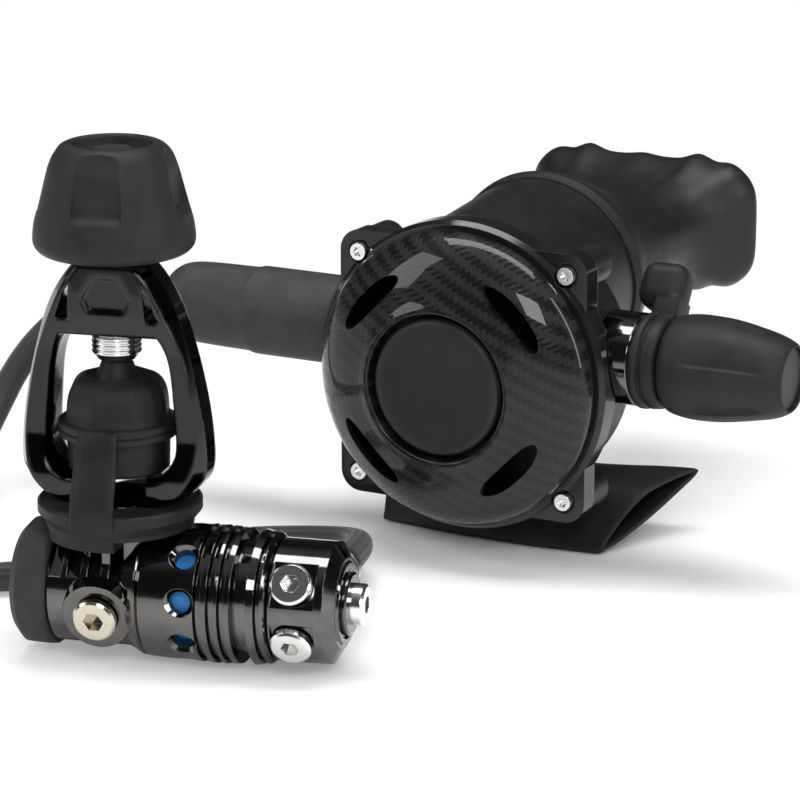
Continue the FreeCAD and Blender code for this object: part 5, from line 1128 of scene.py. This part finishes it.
class REGULATOR_OT_cap_strap(bpy.types.Operator):
    """Rubber strap of the dust cap, with a raised rim along each side"""

    bl_idname = "regulator.cap_strap"
    bl_label = "Dust cap strap"

    def execute(self, context):
        line = eased([
            (18.3, 74.0), (19.6, 72.9), (20.9, 69.0), (23.0, 63.0), (25.6, 57.0), (26.6, 52.0),
            (26.7, 49.0), (26.7, 46.4),
        ], 3)
        bm = lofted(40, [self.section(line, i) for i in range(len(line))])
        bmesh.ops.holes_fill(bm, edges=[e for e in bm.edges if e.is_boundary], sides=0)
        bmesh.ops.recalc_face_normals(bm, faces=bm.faces)
        strap = settle(bm, "cap_strap", FIRST, "rubber", "dust_cap", 50,
                       "dust_cap_strap")
        strap.parent = None
        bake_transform(strap)
        return {"FINISHED"}

    def section(self, line, i):
        """A flat loop with thick sides across the strap, square to its line."""
        front, z = line[i]
        before, after = line[max(i - 1, 0)], line[min(i + 1, len(line) - 1)]
        along = Vector((after[0] - before[0], after[1] - before[1])).normalized()
        out = Vector((-along.y, along.x))
        wide = 6.1 + 0.6 * smoothly(72.0, 62.0, z)

        def point(angle):
            c, s = math.cos(angle), math.sin(angle)
            x = wide * math.copysign(abs(c) ** 0.35, c)
            half = 0.78 + 0.42 * smoothly(0.72, 0.82, abs(x) / wide)
            thick = half * math.copysign(abs(s) ** 0.5, s)
            return (x, -(front + out.x * thick), z + out.y * thick)
        return point


class REGULATOR_OT_hose_sleeve(bpy.types.Operator):
    """Rubber sleeve over the end of the hose at the second stage"""

    bl_idname = "regulator.hose_sleeve"
    bl_label = "Hose sleeve"

    def execute(self, context):
        outside = eased([
            (-122.0, 5.2), (-122.0, 7.6), (-121.4, 9.2), (-119.6, 11.2), (-117.0, 12.8),
            (-113.0, 13.8), (-107.0, 14.2), (-98.0, 14.4), (-90.5, 14.5), (-88.0, 14.7),
            (-86.6, 15.1), (-84.6, 15.2), (-74.0, 15.2), (-62.0, 15.2), (-54.6, 15.15),
            (-53.0, 14.7), (-52.4, 13.8), (-52.4, 12.2),
        ], 3)
        inside = [
            (-82.0, 12.2), (-82.0, 6.9), (-108.0, 6.9), (-108.0, 5.2), (-122.0, 5.2),
        ]
        bm = spun(outside + inside, BARREL, (1, 0, 0), 128)
        settle(bm, "hose_sleeve", SECOND, "sleeve", "hose_side", 50, "hose_protector")
        return {"FINISHED"}


class REGULATOR_OT_stage(bpy.types.Operator):
    """Lays the pale floor, sets the lamps and the world, and places the camera"""

    bl_idname = "regulator.stage"
    bl_label = "Stage, lamps and camera"

    # Greys of the room that the plating mirrors, from straight down to straight up
    ROOM = [
        (0.0, 0.55), (0.485, 0.55), (0.505, 0.5), (0.53, 0.07), (0.6, 0.035), (0.84, 0.04),
        (0.92, 0.2), (1.0, 0.3),
    ]

    # Each lamp: name, place, target, width and height in metres, and power in watts
    LAMPS = (
        ("top_softbox", (0.0, 0.02, 1.3), (0.0, 0.02, 0.05), (1.3, 0.46), 14.5),
        ("left_softbox", (-1.3, -0.7, 0.9), (0.0, 0.0, 0.08), (0.5, 0.9), 6.5),
        ("right_strip", (1.3, -0.4, 0.7), (0.0, 0.0, 0.08), (0.2, 1.2), 6.5),
        ("cover_panel", (0.26, -0.95, 0.66), (0.0, -0.03, 0.07), (0.36, 0.3), 3.6),
    )

    # The camera: focal length, distance in metres, target in millimetres and direction
    LENS = 153.0
    DISTANCE = 1.0943
    TARGET = (-12.383, -37.95, 60.0)
    DIRECTION = (-0.23312, 0.935, -0.26724)

    def execute(self, context):
        look = context.scene.regulator_stage
        scene = context.scene
        scene.view_settings.view_transform = "Standard"
        self.floor(scene, look)
        self.world(scene, look)
        self.lamps(scene)
        self.camera(scene)
        return {"FINISHED"}

    def floor(self, scene, look):
        """A pale floor that fades to plain white away from the object, sooner for the camera."""
        bm = bmesh.new()
        bmesh.ops.create_grid(bm, x_segments=1, y_segments=1, size=look.floor_size / 2)
        mesh = bpy.data.meshes.new("studio_floor")
        bm.to_mesh(mesh)
        bm.free()
        f = Finish("studio_floor_white", Base_Color=(0.9, 0.9, 0.9), Roughness=0.9,
                   Specular_IOR_Level=0.1)
        x, y = f.parts(f.node("ShaderNodeTexCoord", out="Object"))[:2]
        reach = (x * x + y * y).maths("SQRT")
        share = f.spread(reach + f.ray("Camera") * 0.14, 0.2, 0.5)
        pale = Value(f.tree, f.shader.outputs[0])
        white = f.node("ShaderNodeEmission", None, {"Color": WHITE, "Strength": 1.0})
        mixed = f.node("ShaderNodeMixShader", None, {0: share, 1: pale, 2: white})
        feed(f.tree, f.tree.nodes["Material Output"].inputs["Surface"], mixed)
        mesh.materials.append(f.material)
        floor = bpy.data.objects.new("studio_floor", mesh)
        floor.location = (0.0, 0.0, -0.0004)
        scene.collection.objects.link(floor)

    def world(self, scene, look):
        """Even white light, a darker room for mirrored rays and plain white for the camera."""
        world = bpy.data.worlds.new("studio_world")
        world.use_nodes = True
        scene.world = world
        g = Graph(world.node_tree)
        back = g.tree.nodes["Background"]
        feed(g.tree, back.inputs["Color"], WHITE)
        feed(g.tree, back.inputs["Strength"], look.sky)
        even = Value(g.tree, back.outputs[0])
        up = g.parts(g.node("ShaderNodeTexCoord", out="Generated"))[2]
        room = g.node("ShaderNodeValToRGB", {"stops": self.ROOM}, {0: up * 0.5 + 0.5})
        mirrored = g.node("ShaderNodeBackground", None, {"Color": room, "Strength": 1.0})
        plain = g.node("ShaderNodeBackground", None, {"Color": WHITE, "Strength": 1.0})
        glossy = g.ray("Glossy") + g.ray("Transmission")
        lit = g.node("ShaderNodeMixShader", None, {0: glossy, 1: even, 2: mirrored})
        shown = g.node("ShaderNodeMixShader", None, {0: g.ray("Camera"), 1: lit, 2: plain})
        feed(g.tree, g.tree.nodes["World Output"].inputs["Surface"], shown)

    def lamps(self, scene):
        """Soft lamps above and at both sides, and a panel that the cover's lacquer mirrors."""
        for name, place, target, size, power in self.LAMPS:
            light = bpy.data.lights.new(name, "AREA")
            light.shape = "RECTANGLE"
            light.size, light.size_y = size
            light.energy = power
            lamp = bpy.data.objects.new(name, light)
            lamp.location = place
            toward = Vector(target) - Vector(place)
            lamp.rotation_euler = toward.to_track_quat("-Z", "Y").to_euler()
            lamp.visible_camera = False
            scene.collection.objects.link(lamp)

    def camera(self, scene):
        """The camera from which the set looks as in the photograph."""
        data = bpy.data.cameras.new("photograph_view")
        data.lens = self.LENS
        data.sensor_width = 36.0
        data.clip_start = 0.05
        data.clip_end = 20.0
        camera = bpy.data.objects.new("photograph_view", data)
        view = Vector(self.DIRECTION).normalized()
        camera.location = Vector(self.TARGET) * MM - view * self.DISTANCE
        camera.rotation_euler = view.to_track_quat("-Z", "Y").to_euler()
        scene.collection.objects.link(camera)
        scene.camera = camera


class REGULATOR_PT_panel(bpy.types.Panel):
    """Lists the sizes, the colours and the steps"""

    bl_idname = "REGULATOR_PT_panel"
    bl_label = "Scuba regulator set"
    bl_space_type = "VIEW_3D"
    bl_region_type = "UI"
    bl_category = "Regulator"

    def draw(self, context):
        layout = self.layout
        for group in (
            context.scene.regulator_look,
            context.scene.regulator_hose,
            context.scene.regulator_stage,
        ):
            box = layout.box()
            for name in group.__annotations__:
                box.prop(group, name)
        for step in STEPS:
            layout.operator(step.bl_idname)


STEPS = (
    REGULATOR_OT_finishes,
    REGULATOR_OT_hose,
    REGULATOR_OT_knob,
    REGULATOR_OT_effort_knob,
    REGULATOR_OT_venturi_lever,
    REGULATOR_OT_cover,
    REGULATOR_OT_button,
    REGULATOR_OT_mouthpiece,
    REGULATOR_OT_mouth_strap,
    REGULATOR_OT_tee,
    REGULATOR_OT_dust_cap,
    REGULATOR_OT_cap_strap,
    REGULATOR_OT_hose_sleeve,
    REGULATOR_OT_stage,
)
GROUPS = (RegulatorLook, RegulatorHose, RegulatorStage)


def register():
    for cls in (*GROUPS, *STEPS, REGULATOR_PT_panel):
        bpy.utils.register_class(cls)
    bpy.types.Scene.regulator_look = PointerProperty(type=RegulatorLook)
    bpy.types.Scene.regulator_hose = PointerProperty(type=RegulatorHose)
    bpy.types.Scene.regulator_stage = PointerProperty(type=RegulatorStage)


def unregister():
    del bpy.types.Scene.regulator_look
    del bpy.types.Scene.regulator_hose
    del bpy.types.Scene.regulator_stage
    for cls in reversed((*GROUPS, *STEPS, REGULATOR_PT_panel)):
        bpy.utils.unregister_class(cls)


def main():
    register()
    bpy.ops.regulator.finishes()
    bpy.ops.regulator.hose()
    bpy.ops.regulator.knob()
    bpy.ops.regulator.effort_knob()
    bpy.ops.regulator.venturi_lever()
    bpy.ops.regulator.cover()
    bpy.ops.regulator.button()
    bpy.ops.regulator.mouthpiece()
    bpy.ops.regulator.mouth_strap()
    bpy.ops.regulator.tee()
    bpy.ops.regulator.dust_cap()
    bpy.ops.regulator.cap_strap()
    bpy.ops.regulator.hose_sleeve()
    bpy.ops.regulator.stage()


if __name__ == "__main__":
    main()
